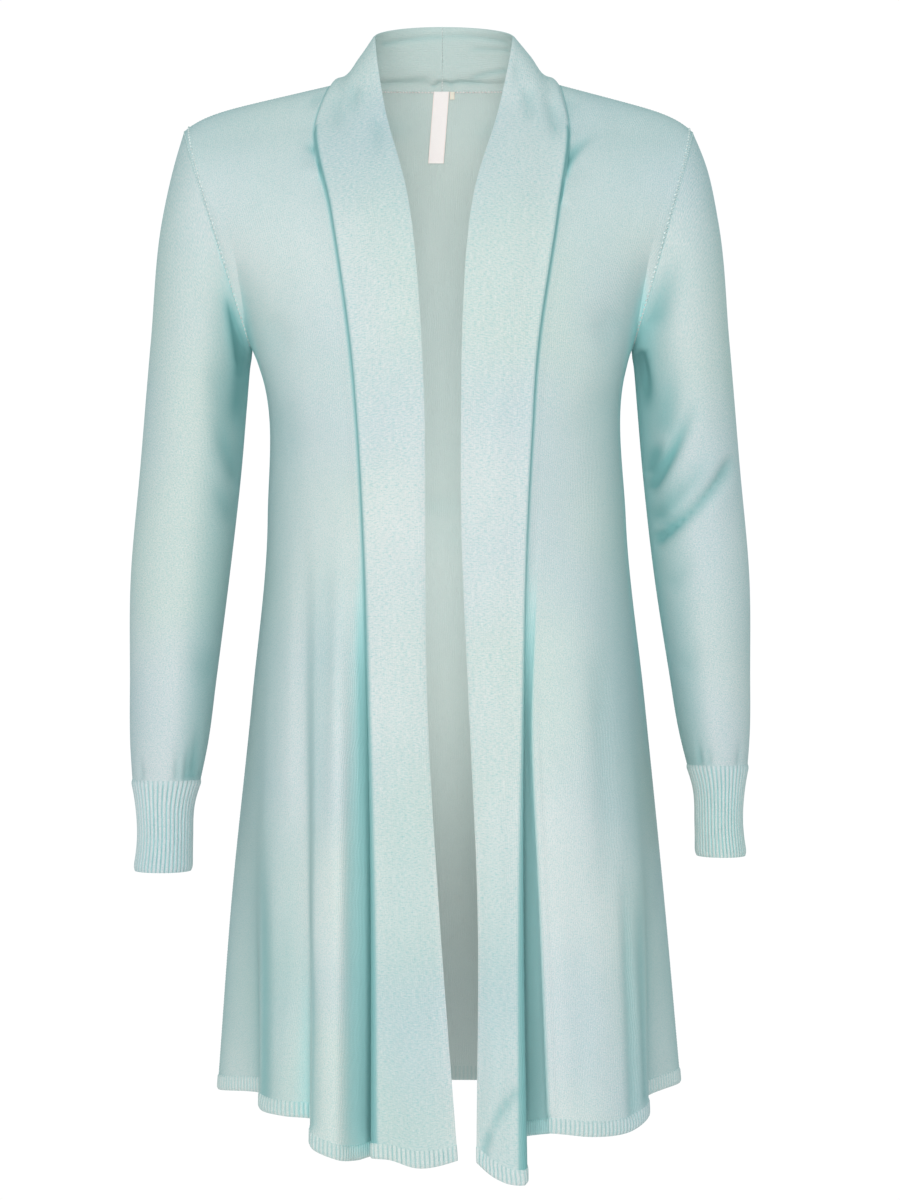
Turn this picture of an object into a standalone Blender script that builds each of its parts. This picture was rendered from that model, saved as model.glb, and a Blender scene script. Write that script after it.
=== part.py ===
"""A long open-front cardigan in fine knit, hollow as if worn, with its sleeves hanging.

Lengths are in metres. X runs to the wearer's left, Y to the wearer's back and Z up.
The origin is midway between the wearer's shoulders, at the height of the base of the neck.
Tables give the left and right sides apart, with x measured outwards from the middle of the body.
"""

import math
from collections import namedtuple

import bpy
import numpy as np

# Cloth and seams
WALL = 0.0016
BAND_WALL = 0.0018
SEAM_GAP = 0.0003
RIB_PITCH = 0.0037
RIB_RISE = 0.0007
HEM_RIB_HEIGHT = 0.012
CUFF_RIBS_A_SIDE = 2

SIDES = {"left": 1.0, "right": -1.0}

# Heights, from the hem up. The armhole starts at the armpit and ends at the shoulder.
LEVELS = ("hem", "rib_top", "thigh", "hip", "waist", "bust", "armpit", "chest", "upper", "shoulder")
ROWS_BETWEEN = (1, 3, 3, 2, 3, 1, 5, 3, 2)
ARMHOLE_ROWS = 10
ARMPIT = LEVELS.index("armpit")
LEVEL_ROWS = dict(zip(LEVELS, np.concatenate([[0], np.cumsum(ROWS_BETWEEN)])))
GUIDE_LEVELS = tuple(level for level in LEVELS if level not in ("rib_top", "shoulder"))

# Plain sections of the worn body, with ease. side_z is the height at the side, z the height in the middle.
Section = namedtuple("Section", "z side_z left right front back squareness")
SECTIONS = {
    "waist": Section(-0.335, -0.335, 0.1468, 0.1392, 0.127, 0.092, 2.3),
    "bust": Section(-0.262, -0.216, 0.1470, 0.1452, 0.127, 0.104, 2.3),
    "armpit": Section(-0.225, -0.200, 0.1520, 0.1520, 0.122, 0.108, 2.4),
    "chest": Section(-0.100, -0.100, 0.2000, 0.2000, 0.095, 0.101, 2.6),
    "upper": Section(-0.030, -0.030, 0.2500, 0.2500, 0.046, 0.078, 3.0),
}
SIDE_RISE_SHARPNESS = 6
SKIRT_HEIGHT = {"thigh": -0.640, "hip": -0.480}

# The front band: its free edge, the fold at its outer edge and the seam behind that fold, as (x, y, z)
BandRow = namedtuple("BandRow", "free fold seam")
BAND = {
    "left": {
        "hem": BandRow((0.0263, -0.142, -0.8301), (0.0594, -0.150, -0.8468), (0.0575, -0.065, -0.8200)),
        "thigh": BandRow((0.0273, -0.138, -0.640), (0.0594, -0.141, -0.640), (0.0585, -0.085, -0.640)),
        "hip": BandRow((0.0206, -0.134, -0.480), (0.0621, -0.135, -0.480), (0.0610, -0.110, -0.480)),
        "waist": BandRow((0.0148, -0.132, -0.335), (0.0660, -0.131, -0.335), (0.0666, -0.122, -0.335)),
        "bust": BandRow((0.0148, -0.131, -0.257), (0.0699, -0.129, -0.261), (0.0709, -0.122, -0.262)),
        "armpit": BandRow((0.0152, -0.129, -0.213), (0.0722, -0.126, -0.222), (0.0732, -0.119, -0.225)),
        "chest": BandRow((0.0242, -0.101, -0.0875), (0.0898, -0.095, -0.097), (0.0910, -0.088, -0.100)),
        "upper": BandRow((0.0453, -0.045, -0.010), (0.0985, -0.046, -0.024), (0.1008, -0.040, -0.029)),
    },
    "right": {
        "hem": BandRow((-0.0125, -0.140, -0.8290), (0.0500, -0.141, -0.8276), (0.0544, -0.085, -0.8320)),
        "thigh": BandRow((0.0017, -0.138, -0.640), (0.0514, -0.139, -0.640), (0.0545, -0.095, -0.640)),
        "hip": BandRow((0.0109, -0.134, -0.480), (0.0553, -0.135, -0.480), (0.0575, -0.112, -0.480)),
        "waist": BandRow((0.0126, -0.132, -0.335), (0.0606, -0.131, -0.335), (0.0620, -0.122, -0.335)),
        "bust": BandRow((0.0131, -0.131, -0.257), (0.0649, -0.129, -0.261), (0.0661, -0.122, -0.262)),
        "armpit": BandRow((0.0148, -0.129, -0.213), (0.0680, -0.126, -0.222), (0.0692, -0.119, -0.225)),
        "chest": BandRow((0.0262, -0.101, -0.0875), (0.0855, -0.095, -0.097), (0.0867, -0.088, -0.100)),
        "upper": BandRow((0.0453, -0.045, -0.010), (0.0985, -0.046, -0.024), (0.1008, -0.040, -0.029)),
    },
}
BAND_MID_DROP = {"left": 0.0040, "right": 0.0062}
BAND_CROWN = 0.003
BAND_ROLL = 0.008
BAND_STEPS = (2, 2, 1, 2)
OUT = (1.0, 0.0, 0.0)
BACKWARD = (0.0, 1.0, 0.0)
FORWARD = (0.0, -1.0, 0.0)

# Neck: where the band seam crosses the shoulder and the middle of the back, and the collar's free edge
NECK_SIDE = {"left": (0.0940, 0.010, 0.0130), "right": (0.0892, 0.010, 0.0125)}
NECK_BACK = (0.0, 0.070, 0.0153)
COLLAR_SIDE = {"left": (0.0572, 0.000, 0.0512), "right": (0.0543, 0.000, 0.0512)}
COLLAR_BACK = (0.0, 0.055, 0.0663)
COLLAR_HOLLOW = {"left": 0.0015, "right": 0.0030}
COLLAR_FOLD_SHARE = 0.14
COLLAR_TURN = (0.0, 0.96, 0.27)
NECK_CENTRE = (0.0, 0.012)
NECK_ROWS = 5
SHOULDER_ROUND = 0.25

# Fold lines of each front, from the band seam out: the share of the way round at the waist and above,
# then (x, y) at the hip and the thigh, and (x, y, z) at the hem
FoldLine = namedtuple("FoldLine", "name share hip thigh hem steps")
FRONT_FOLDS = {
    "left": (
        FoldLine("groove ridge", 0.07, (0.0706, -0.127), (0.0778, -0.130), (0.0847, -0.131, -0.8095), 4),
        FoldLine("panel middle", 0.30, (0.1040, -0.122), (0.1090, -0.125), (0.1140, -0.128, -0.8125), 3),
        FoldLine("soft crease", 0.58, (0.1310, -0.096), (0.1410, -0.101), (0.1459, -0.106, -0.8115), 3),
        FoldLine("fold edge", 0.72, (0.1445, -0.072), (0.1560, -0.078), (0.1610, -0.082, -0.8040), 2),
        FoldLine("fold valley", 0.84, (0.1525, -0.048), (0.1615, -0.046), (0.1590, -0.044, -0.7955), 2),
        FoldLine("side seam", 1.00, (0.1620, 0.004), (0.1783, 0.012), (0.1920, 0.022, -0.7880), 3),
    ),
    "right": (
        FoldLine("groove flank", 0.06, (0.0660, -0.123), (0.0655, -0.118), (0.0660, -0.116, -0.8322), 2),
        FoldLine("first ridge", 0.16, (0.0800, -0.131), (0.0800, -0.134), (0.0817, -0.137, -0.8285), 2),
        FoldLine("first edge", 0.28, (0.0980, -0.119), (0.0985, -0.125), (0.0999, -0.129, -0.8215), 2),
        FoldLine("first valley", 0.36, (0.1050, -0.106), (0.1035, -0.104), (0.0990, -0.098, -0.8035), 2),
        FoldLine("second ridge", 0.50, (0.1190, -0.095), (0.1205, -0.096), (0.1223, -0.098, -0.8005), 2),
        FoldLine("second edge", 0.66, (0.1340, -0.073), (0.1385, -0.077), (0.1412, -0.080, -0.7985), 2),
        FoldLine("second valley", 0.80, (0.1425, -0.050), (0.1475, -0.046), (0.1400, -0.042, -0.7915), 2),
        FoldLine("side seam", 1.00, (0.1520, 0.004), (0.1688, 0.012), (0.1807, 0.022, -0.7935), 3),
    ),
}
UNDERARM_TURN = (0.72, 0.0, 0.69)
NECK_BACK_TURN = (0.0, -0.35, 0.94)
SIDE_EASE = 3

# How far each level of a panel starts straight out from its band seam and ends straight back at its side
Turn = namedtuple("Turn", "first last")
TURN = {
    "hem": Turn(1.0, 1.0),
    "thigh": Turn(1.0, 1.0),
    "hip": Turn(1.0, 1.0),
    "waist": Turn(1.0, 1.0),
    "bust": Turn(1.0, 1.0),
    "armpit": Turn(1.0, 0.9),
    "chest": Turn(1.0, 0.5),
    "upper": Turn(0.5, 0.2),
}

# Fold lines of the back, from the middle to each side. The share on the shoulder seam runs from the neck.
BackLine = namedtuple("BackLine", "name share shoulder hip thigh hem steps")
BACK_FOLDS = (
    BackLine("middle", 0.00, 0.00, (0.0, 0.102), (0.0, 0.104), (0.0, 0.108, -0.7967), 5),
    BackLine("neck line", 0.24, 0.00, (0.0560, 0.107), (0.0590, 0.118), (0.0630, 0.131, -0.8000), 3),
    BackLine("side hollow", 0.54, 0.34, (0.1040, 0.091), (0.1110, 0.090), (0.1170, 0.088, -0.7970), 3),
    BackLine("side flare", 0.78, 0.70, (0.1400, 0.062), (0.1560, 0.067), (0.1690, 0.075, -0.7950), 3),
)

# Sleeve sections down the arm: outer and inner line in front view, then middle and half depth
SleeveRow = namedtuple("SleeveRow", "name x_out z_out x_in z_in y_mid y_half steps")
SLEEVE = (
    SleeveRow("armhole", 0.1990, -0.026, 0.1520, -0.2000, 0.004, 0.0575, 0),
    SleeveRow("cap", 0.2112, -0.052, 0.1525, -0.2060, 0.004, 0.0580, 1),
    SleeveRow("upper arm", 0.2208, -0.096, 0.1536, -0.2135, 0.003, 0.0585, 2),
    SleeveRow("biceps", 0.2296, -0.192, 0.1562, -0.2460, 0.000, 0.0570, 3),
    SleeveRow("above elbow", 0.2376, -0.292, 0.1610, -0.3050, -0.005, 0.0520, 3),
    SleeveRow("elbow", 0.2448, -0.384, 0.1696, -0.3840, -0.014, 0.0465, 2),
    SleeveRow("forearm", 0.2448, -0.455, 0.1802, -0.4550, -0.021, 0.0435, 2),
    SleeveRow("wrist", 0.2440, -0.508, 0.1890, -0.5080, -0.026, 0.0400, 2),
    SleeveRow("cuff top", 0.2422, -0.530, 0.1944, -0.5300, -0.029, 0.0365, 1),
)
CUFF = (
    SleeveRow("cuff top", 0.2422, -0.530, 0.1944, -0.5300, -0.029, 0.0365, 0),
    SleeveRow("cuff neck", 0.2388, -0.548, 0.2000, -0.5480, -0.030, 0.0330, 1),
    SleeveRow("cuff middle", 0.2370, -0.578, 0.2016, -0.5780, -0.032, 0.0325, 1),
    SleeveRow("cuff edge", 0.2400, -0.6020, 0.2016, -0.6020, -0.034, 0.0335, 1),
)

# How each sleeve differs: its shoulder point, and how much it is wider, longer, and fuller inside the wrist
SleeveFit = namedtuple("SleeveFit", "x_tip z_tip wider longer fuller")
SLEEVE_FIT = {
    "left": SleeveFit(0.2005, -0.0256, 0.0, 0.0, 0.0),
    "right": SleeveFit(0.2062, -0.0250, 0.0030, 0.012, 0.0030),
}
WRIST_FIT_FROM = -0.40
WRIST_FIT_OVER = 0.13
SLEEVE_SIDES = 2 * ARMHOLE_ROWS
SLEEVE_Z_OUT, SLEEVE_Z_IN = 1, 3

# Labels at the back neck: the middle of the top edge, size, and lean of the lower end
Label = namedtuple("Label", "x z_top width height lean")
LABELS = {
    "neck_label": Label(-0.0006, 0.0125, 0.0127, 0.0575, -0.0045),
    "size_tab": Label(0.0082, 0.0125, 0.0038, 0.0058, 0.0),
}
LABEL_THICKNESS = 0.0010
LABEL_CLEARANCE = 0.0005
LABEL_ROWS = 6
LABEL_COLUMNS = 2

KNIT_ROUGHNESS = 0.85
LABEL_ROUGHNESS = 0.6
KNIT_COLOUR = (0.560, 0.760, 0.745, 1.0)
RIB_COLOUR = (0.520, 0.730, 0.715, 1.0)
LABEL_COLOUR = (0.930, 0.880, 0.860, 1.0)


# Curves and grids
def unit(vector):
    return vector / np.maximum(np.linalg.norm(vector, axis=-1, keepdims=True), 1e-12)


def smooth_curve(points, steps, start=None, end=None):
    """Points on a smooth curve through the given ones, steps[i] of them to each gap, with end directions."""
    points = np.asarray(points, float)
    gaps = np.linalg.norm(np.diff(points, axis=0), axis=1)[:, None]
    rates = np.diff(points, axis=0) / gaps
    slopes = np.zeros_like(points)
    slopes[1:-1] = (rates[:-1] * gaps[1:] + rates[1:] * gaps[:-1]) / (gaps[:-1] + gaps[1:])
    slopes[0] = 1.5 * rates[0] - 0.5 * slopes[1] if start is None else start
    slopes[-1] = 1.5 * rates[-1] - 0.5 * slopes[-2] if end is None else end
    curve = []
    for i, count in enumerate(steps):
        t = (np.arange(count) / count)[:, None]
        curve.append(
            (1 + 2 * t) * (1 - t) ** 2 * points[i]
            + t * (1 - t) ** 2 * gaps[i] * slopes[i]
            + t * t * (3 - 2 * t) * points[i + 1]
            - t * t * (1 - t) * gaps[i] * slopes[i + 1]
        )
    return np.vstack(curve + [points[-1:]])


def grid_normals(grid, side):
    """Unit normals of a grid of rows up and columns outwards, pointing out of the body."""
    up = np.gradient(grid, axis=0)
    across = np.gradient(grid, axis=1)
    return unit(np.cross(across, up)) * side


def level_share(level_from, level_to):
    """Share from 0 to 1 of each row's way between two levels, one value to each row from the hem up."""
    low, high = LEVEL_ROWS[level_from], LEVEL_ROWS[level_to]
    return np.clip((np.arange(LEVEL_ROWS["shoulder"] + 1) - low) / (high - low), 0, 1)


def blend_direction(wanted, natural, weight):
    """A direction between a wanted one at weight 1 and the natural one at weight 0."""
    return unit(np.array(wanted) * weight + unit(natural) * (1 - weight))


def spread(shares, steps):
    """Shares at the guides filled in for the columns between them."""
    return np.interp(np.arange(sum(steps) + 1), np.concatenate([[0], np.cumsum(steps)]), shares)


# The worn body
def ring_point(level, side_name, angle, front):
    """A point of a plain section: angle 0 is the side, a right angle is the middle of the front or back."""
    section = SECTIONS[level]
    power = 2 / section.squareness
    depth = -section.front if front else section.back
    x = getattr(section, side_name) * max(math.cos(angle), 0.0) ** power
    lift = (section.side_z - section.z) * max(math.cos(angle), 0.0) ** SIDE_RISE_SHARPNESS
    return np.array([x, depth * math.sin(angle) ** power, section.z + lift])


def ring_angle(level, side_name, x):
    section = SECTIONS[level]
    return math.acos(min(1.0, x / getattr(section, side_name)) ** (section.squareness / 2))


def sleeve_row(row, side_name):
    """One side's own section: outer x and z, inner x and z, middle and half depth."""
    fit = SLEEVE_FIT[side_name]
    share = min(1.0, max(0.0, (WRIST_FIT_FROM - row.z_out) / WRIST_FIT_OVER))
    x_out, z_out = row.x_out + fit.wider, row.z_out - fit.longer * share
    if row.name == "armhole":
        x_out, z_out = fit.x_tip, fit.z_tip
    x_in, z_in = row.x_in - fit.fuller * share, row.z_in - fit.longer * share
    return np.array([x_out, z_out, x_in, z_in, row.y_mid, row.y_half])


def sleeve_ring(values, angles):
    """Points round a sleeve section. The angle runs from the inner line by the front to the outer line."""
    x_out, z_out, x_in, z_in, y_mid, y_half = values
    share = (1 - np.cos(angles)) / 2
    return np.stack(
        [x_in + (x_out - x_in) * share, y_mid - y_half * np.sin(angles), z_in + (z_out - z_in) * share],
        axis=1,
    )


def armhole(side_name, front):
    """The armhole seam from the armpit to the shoulder, by the front or the back."""
    turn = math.pi if front else -math.pi
    angles = turn * np.arange(ARMHOLE_ROWS + 1) / ARMHOLE_ROWS
    return sleeve_ring(sleeve_row(SLEEVE[0], side_name), angles)


def shoulder_seam(side_name, shares):
    """Points of the shoulder seam, from the neck at 0 to the armhole at 1."""
    neck, tip = np.array(NECK_SIDE[side_name]), armhole(side_name, True)[-1]
    shares = np.asarray(shares, float)[:, None]
    drop = (1 - SHOULDER_ROUND) * shares + SHOULDER_ROUND * shares**8
    return neck + (tip - neck) * np.hstack([shares, shares, drop])


def neck_curve(side_point, back_point, count):
    """A quarter round the neck from the shoulder to the middle of the back."""
    turn = (math.pi / 2 * np.arange(count + 1) / count)[:, None]
    side_point, back_point = np.array(side_point), np.array(back_point)
    across, back = np.cos(turn), np.sin(turn)
    return np.hstack(
        [
            side_point[0] * across,
            side_point[1] + (back_point[1] - side_point[1]) * back,
            side_point[2] + (back_point[2] - side_point[2]) * back,
        ]
    )


def with_rib_top(levels):
    """Adds the top of the hem rib to a line whose first two points are at the hem and the thigh."""
    hem, thigh = np.array(levels[0]), np.array(levels[1])
    rib_top = hem + (thigh - hem) * HEM_RIB_HEIGHT / (thigh[2] - hem[2])
    return [hem, rib_top, *levels[1:]]


def rise(levels, end=None):
    """One line of the garment from the hem to the shoulder, a point to each row."""
    return smooth_curve(with_rib_top(levels), ROWS_BETWEEN, end=end)


def side_line(side_name, front):
    """The side seam up to the armpit, then the front or back of the armhole."""
    line = FRONT_FOLDS[side_name][-1]
    levels = [
        line.hem,
        (*line.thigh, SKIRT_HEIGHT["thigh"]),
        (*line.hip, SKIRT_HEIGHT["hip"]),
        ring_point("waist", side_name, 0, True),
        ring_point("bust", side_name, 0, True),
        armhole(side_name, True)[0],
    ]
    below = smooth_curve(with_rib_top(levels), ROWS_BETWEEN[:ARMPIT], end=np.array(UNDERARM_TURN))
    return np.vstack([below, armhole(side_name, front)[1:]])


def upper_levels(side_name, share, start, front):
    """Points of one line at the waist and above, a share of the way from a starting line to the side line."""
    side = side_line(side_name, front)
    found = []
    for level in SECTIONS:
        first, last = start[level], side[LEVEL_ROWS[level]]
        first_angle = ring_angle(level, side_name, first[0])
        last_angle = 0.0 if LEVELS.index(level) <= ARMPIT else ring_angle(level, side_name, last[0])
        point = ring_point(level, side_name, first_angle + (last_angle - first_angle) * share, front)
        off_first = first - ring_point(level, side_name, first_angle, front)
        off_last = last - ring_point(level, side_name, last_angle, front)
        found.append(point + off_first * (1 - share) + off_last * share)
    return found


# Panels as grids of points, rows up from the hem, in the outward x of their own side
def band_lines(side_name):
    """The free edge, fold and seam of the band, row by row: up the front, then round the neck to the back."""
    ends = {
        "free": (COLLAR_SIDE[side_name], COLLAR_TURN, COLLAR_BACK),
        "seam": (NECK_SIDE[side_name], BACKWARD, NECK_BACK),
    }
    lines = {}
    for name, (side_point, direction, back_point) in ends.items():
        levels = [getattr(row, name) for row in BAND[side_name].values()]
        front = rise([*levels, side_point], end=np.array(direction))
        lines[name] = np.vstack([front, neck_curve(side_point, back_point, NECK_ROWS)[1:]])
    collar = lines["seam"] + COLLAR_FOLD_SHARE * (lines["free"] - lines["seam"])
    top = LEVEL_ROWS["shoulder"]
    levels = [row.fold for row in BAND[side_name].values()]
    front = rise([*levels, collar[top]], end=np.array(BACKWARD))
    lines["fold"] = np.vstack([front, collar[top + 1 :]])
    return lines


def band_grid(side_name):
    """Columns from the free edge over the fold to the seam."""
    lines = band_lines(side_name)
    free, fold, seam = lines["free"], lines["fold"], lines["seam"]
    on_collar = np.ones(NECK_ROWS)
    down = 1 - np.concatenate([level_share("hem", "thigh"), on_collar])
    forward = 1 - np.concatenate([level_share("chest", "shoulder"), on_collar])
    turned = 1 - np.concatenate([level_share("chest", "upper"), on_collar])
    middle = (free + fold) / 2
    middle[:, 1] -= BAND_CROWN * forward
    middle[:, 2] -= BAND_MID_DROP[side_name] * down
    hollow = COLLAR_HOLLOW[side_name] * (1 - forward)
    middle[:, :2] -= unit(middle[:, :2] - np.array(NECK_CENTRE)) * hollow[:, None]
    share = BAND_ROLL / np.linalg.norm(middle - fold, axis=1, keepdims=True)
    roll = fold + (middle - fold) * np.hstack([share, share, share**2])
    grid = []
    for r in range(len(free)):
        end = blend_direction(OUT, seam[r] - fold[r], turned[r])
        grid.append(smooth_curve([free[r], middle[r], roll[r], fold[r], seam[r]], BAND_STEPS, end=end))
    return np.array(grid)


def panel_grid(across, top, directions, side):
    """Raises every column of a panel through its levels to the top seam, and ends it at the side line."""
    columns = across.shape[1]
    lines = [rise([*across[:, c], top[c]], end=np.array(directions[c])) for c in range(columns)]
    grid = np.stack(lines, axis=1)
    off = side - grid[:, -1]
    for c in range(1, SIDE_EASE + 1):
        grid[:, -c] += off * (1 - (c - 1) / SIDE_EASE)
    return grid


def across_levels(lines, steps, first, last):
    """Fills in the columns between guide lines, level by level, with the directions at the first and last."""
    across = []
    for k, level in enumerate(GUIDE_LEVELS):
        points = lines[:, k]
        begin = blend_direction(first, points[1] - points[0], TURN[level].first)
        finish = blend_direction(last, points[-1] - points[-2], TURN[level].last)
        across.append(smooth_curve(points, steps, start=begin, end=finish))
    return np.array(across)


def guide_lines(folds, side_name, start, front):
    """Each fold line's points at the guide levels."""
    lines = []
    for fold in folds:
        low = [fold.hem, (*fold.thigh, SKIRT_HEIGHT["thigh"]), (*fold.hip, SKIRT_HEIGHT["hip"])]
        lines.append(low + upper_levels(side_name, fold.share, start, front))
    return lines


def front_grid(side_name):
    """Columns from the band seam out to the side seam and armhole."""
    folds = FRONT_FOLDS[side_name]
    seam = band_lines(side_name)["seam"]
    start = {level: seam[row] for level, row in LEVEL_ROWS.items()}
    side = side_line(side_name, True)
    lines = [[start[level] for level in GUIDE_LEVELS]]
    lines += guide_lines(folds[:-1], side_name, start, True)
    lines.append([side[LEVEL_ROWS[level]] for level in GUIDE_LEVELS])
    steps = [fold.steps for fold in folds]
    across = across_levels(np.array(lines), steps, OUT, BACKWARD)
    top = shoulder_seam(side_name, spread([0.0] + [fold.share for fold in folds], steps))
    return panel_grid(across, top, [BACKWARD] * len(top), side)


def back_half(side_name):
    """Columns from the middle of the back out to the side seam and armhole."""
    side = side_line(side_name, False)
    middle = {level: ring_point(level, side_name, math.pi / 2, False) for level in SECTIONS}
    lines = guide_lines(BACK_FOLDS, side_name, middle, False)
    lines.append([side[LEVEL_ROWS[level]] for level in GUIDE_LEVELS])
    steps = [fold.steps for fold in BACK_FOLDS]
    across = across_levels(np.array(lines), steps, OUT, FORWARD)
    shoulders = [fold.shoulder for fold in BACK_FOLDS[1:]] + [1.0]
    neck = neck_curve(NECK_SIDE[side_name], NECK_BACK, NECK_ROWS)
    top = np.vstack([neck[:0:-1], shoulder_seam(side_name, spread(shoulders, steps[1:]))])
    upright = np.clip(1 - np.arange(len(top)) / NECK_ROWS, 0, 1)
    directions = [blend_direction(NECK_BACK_TURN, np.array(FORWARD), share) for share in upright]
    return panel_grid(across, top, directions, side)


def mirrored(grid, side_name):
    """Points or normals of one side, from its own outward x to the shared X."""
    return grid * np.array([SIDES[side_name], 1.0, 1.0])


def sleeve_stations(table, side_name):
    """Sections of a sleeve or cuff from a table, with the rows between filled in."""
    return smooth_curve([sleeve_row(row, side_name) for row in table], [row.steps for row in table[1:]])


def sleeve_grid(side_name):
    """Rows down the arm and columns round it, closed."""
    angles = 2 * math.pi * np.arange(SLEEVE_SIDES) / SLEEVE_SIDES
    return np.array([sleeve_ring(station, angles) for station in sleeve_stations(SLEEVE, side_name)])


def sleeve_normals(grid):
    """Outward normals of a sleeve. At the armhole they lie in the plane of its seam."""
    wrapped = np.concatenate([grid[:, -1:], grid, grid[:, :1]], axis=1)
    normals = grid_normals(wrapped, -1.0)[:, 1:-1]
    normals[0] = unit(grid[0] - grid[0].mean(axis=0))
    return normals


# Solids
def add_object(name, points, faces, material):
    """A named object from points and faces, turned so that its faces point out."""
    volume = 0.0
    for face in faces:
        corners = [points[i] for i in face]
        for i in range(1, len(corners) - 1):
            volume += np.dot(corners[0], np.cross(corners[i], corners[i + 1]))
    if volume < 0:
        faces = [face[::-1] for face in faces]
    mesh = bpy.data.meshes.new(name)
    mesh.from_pydata([tuple(point) for point in points], [], faces)
    mesh.validate()
    mesh.shade_smooth()
    mesh.set_sharp_from_angle(angle=math.radians(50))
    mesh.materials.append(material)
    obj = bpy.data.objects.new(name, mesh)
    bpy.context.scene.collection.objects.link(obj)
    return obj


def retreat(edge, toward, closed=False):
    """How an edge moves by half a seam gap, square to its own line and towards the next line of its panel."""
    if closed:
        along = unit(np.roll(edge, -1, axis=0) - np.roll(edge, 1, axis=0))
    else:
        along = unit(np.gradient(edge, axis=0))
    inward = toward - edge
    inward = inward - along * (inward * along).sum(axis=1, keepdims=True)
    return unit(inward) * SEAM_GAP / 2


def trim(grid, edges="bottom top first last", armholes=""):
    """A panel's grid with the named edges moved back from their seams. An armhole starts at the armpit."""
    moved = grid.copy()
    if "bottom" in edges:
        moved[0] += retreat(grid[0], grid[1])
    if "top" in edges:
        moved[-1] += retreat(grid[-1], grid[-2])
    armpit = len(grid) - 1 - ARMHOLE_ROWS
    for name, edge, inner in (("first", 0, 1), ("last", -1, -2)):
        if name not in edges:
            continue
        if name in armholes:
            moved[: armpit + 1, edge] += retreat(grid[: armpit + 1, edge], grid[: armpit + 1, inner])
            moved[armpit:, edge] += retreat(grid[armpit:, edge], grid[armpit - 1 : -1, inner])
        else:
            moved[:, edge] += retreat(grid[:, edge], grid[:, inner])
    return moved


def add_wall(name, outer, normals, thickness, material, closed=False):
    """A cloth wall: an outer grid, the same grid moved in by the thickness, and rims between them."""
    rows, columns = outer.shape[:2]
    points = np.vstack([outer.reshape(-1, 3), (outer - normals * thickness).reshape(-1, 3)])
    inside = rows * columns
    spans = columns if closed else columns - 1
    faces = []
    for r in range(rows - 1):
        for c in range(spans):
            a, b = r * columns + c, r * columns + (c + 1) % columns
            faces.append([a, b, b + columns, a + columns])
            faces.append([inside + a, inside + a + columns, inside + b + columns, inside + b])
    last = (rows - 1) * columns
    for c in range(spans):
        a, b = c, (c + 1) % columns
        faces.append([a, inside + a, inside + b, b])
        faces.append([last + a, last + b, inside + last + b, inside + last + a])
    if not closed:
        for r in range(rows - 1):
            a, b = r * columns, (r + 1) * columns
            faces.append([a, b, inside + b, inside + a])
            a, b = a + columns - 1, b + columns - 1
            faces.append([a, inside + a, inside + b, b])
    return add_object(name, points, faces, material)


def add_ribbed(name, outer, inner, ribs, material, closed=False):
    """A ribbed border: outer rows of raised points over plain inner rows, ribs of them to each inner span."""
    rows, columns = inner.shape[:2]
    wide = outer.shape[1]
    starts = np.concatenate([[0], np.cumsum(ribs)])
    points = np.vstack([outer.reshape(-1, 3), inner.reshape(-1, 3)])
    inside = rows * wide
    spans = columns if closed else columns - 1
    faces = []
    for r in range(rows - 1):
        for c in range(wide if closed else wide - 1):
            a, b = r * wide + c, r * wide + (c + 1) % wide
            faces.append([a, b, b + wide, a + wide])
        for c in range(spans):
            a, b = inside + r * columns + c, inside + r * columns + (c + 1) % columns
            faces.append([a, a + columns, b + columns, b])
    for r in (0, rows - 1):
        for c in range(spans):
            rim = [r * wide + i % wide for i in range(starts[c], starts[c + 1] + 1)]
            a, b = inside + r * columns + c, inside + r * columns + (c + 1) % columns
            face = [*reversed(rim), a, b]
            faces.append(face if r == 0 else face[::-1])
    if not closed:
        for r in range(rows - 1):
            a, b = r * wide, inside + r * columns
            faces.append([a, a + wide, b + columns, b])
            a, b = a + wide - 1, b + columns - 1
            faces.append([a, b, b + columns, a + wide])
    return add_object(name, points, faces, material)


def add_hem_rib(name, grid, normals, thickness, material):
    """The knitted border under a panel, with upright ribs on its outer side."""
    base = trim(grid[:2], "top first last")
    lengths = np.linalg.norm(np.diff(base[0], axis=0), axis=1)
    ribs = [2 * max(1, round(length / RIB_PITCH)) for length in lengths]
    along = [np.arange(count) / count + c for c, count in enumerate(ribs)]
    along = np.concatenate([*along, [len(ribs)]])
    column = np.minimum(along.astype(int), len(ribs) - 1)
    share = (along - column)[:, None]
    raised = np.concatenate([*(np.arange(count) % 2 for count in ribs), [0]])[:, None]
    points = base[:, column] * (1 - share) + base[:, column + 1] * share
    outward = unit(normals[:2, column] * (1 - share) + normals[:2, column + 1] * share)
    outer = points + outward * raised * RIB_RISE
    add_ribbed(name, outer, base - normals[:2] * thickness, ribs, material)


def add_cuff(name, side_name, material):
    """The ribbed cuff: outer points on the full curve, a plain ring inside."""
    stations = sleeve_stations(CUFF, side_name)
    stations[0, [SLEEVE_Z_OUT, SLEEVE_Z_IN]] -= SEAM_GAP / 2
    points_a_side = 2 * CUFF_RIBS_A_SIDE
    angles = 2 * math.pi * np.arange(SLEEVE_SIDES * points_a_side) / (SLEEVE_SIDES * points_a_side)
    raised = (np.arange(len(angles)) % 2)[:, None]
    rings = np.array([sleeve_ring(station, angles) for station in stations])
    outer = rings + unit(rings - rings.mean(axis=1, keepdims=True)) * raised * RIB_RISE
    smaller = stations + np.array([-WALL, 0.0, WALL, 0.0, 0.0, -WALL])
    inner = np.array([sleeve_ring(station, angles[::points_a_side]) for station in smaller])
    ribs = [points_a_side] * SLEEVE_SIDES
    add_ribbed(name, mirrored(outer, side_name), mirrored(inner, side_name), ribs, material, closed=True)


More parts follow.
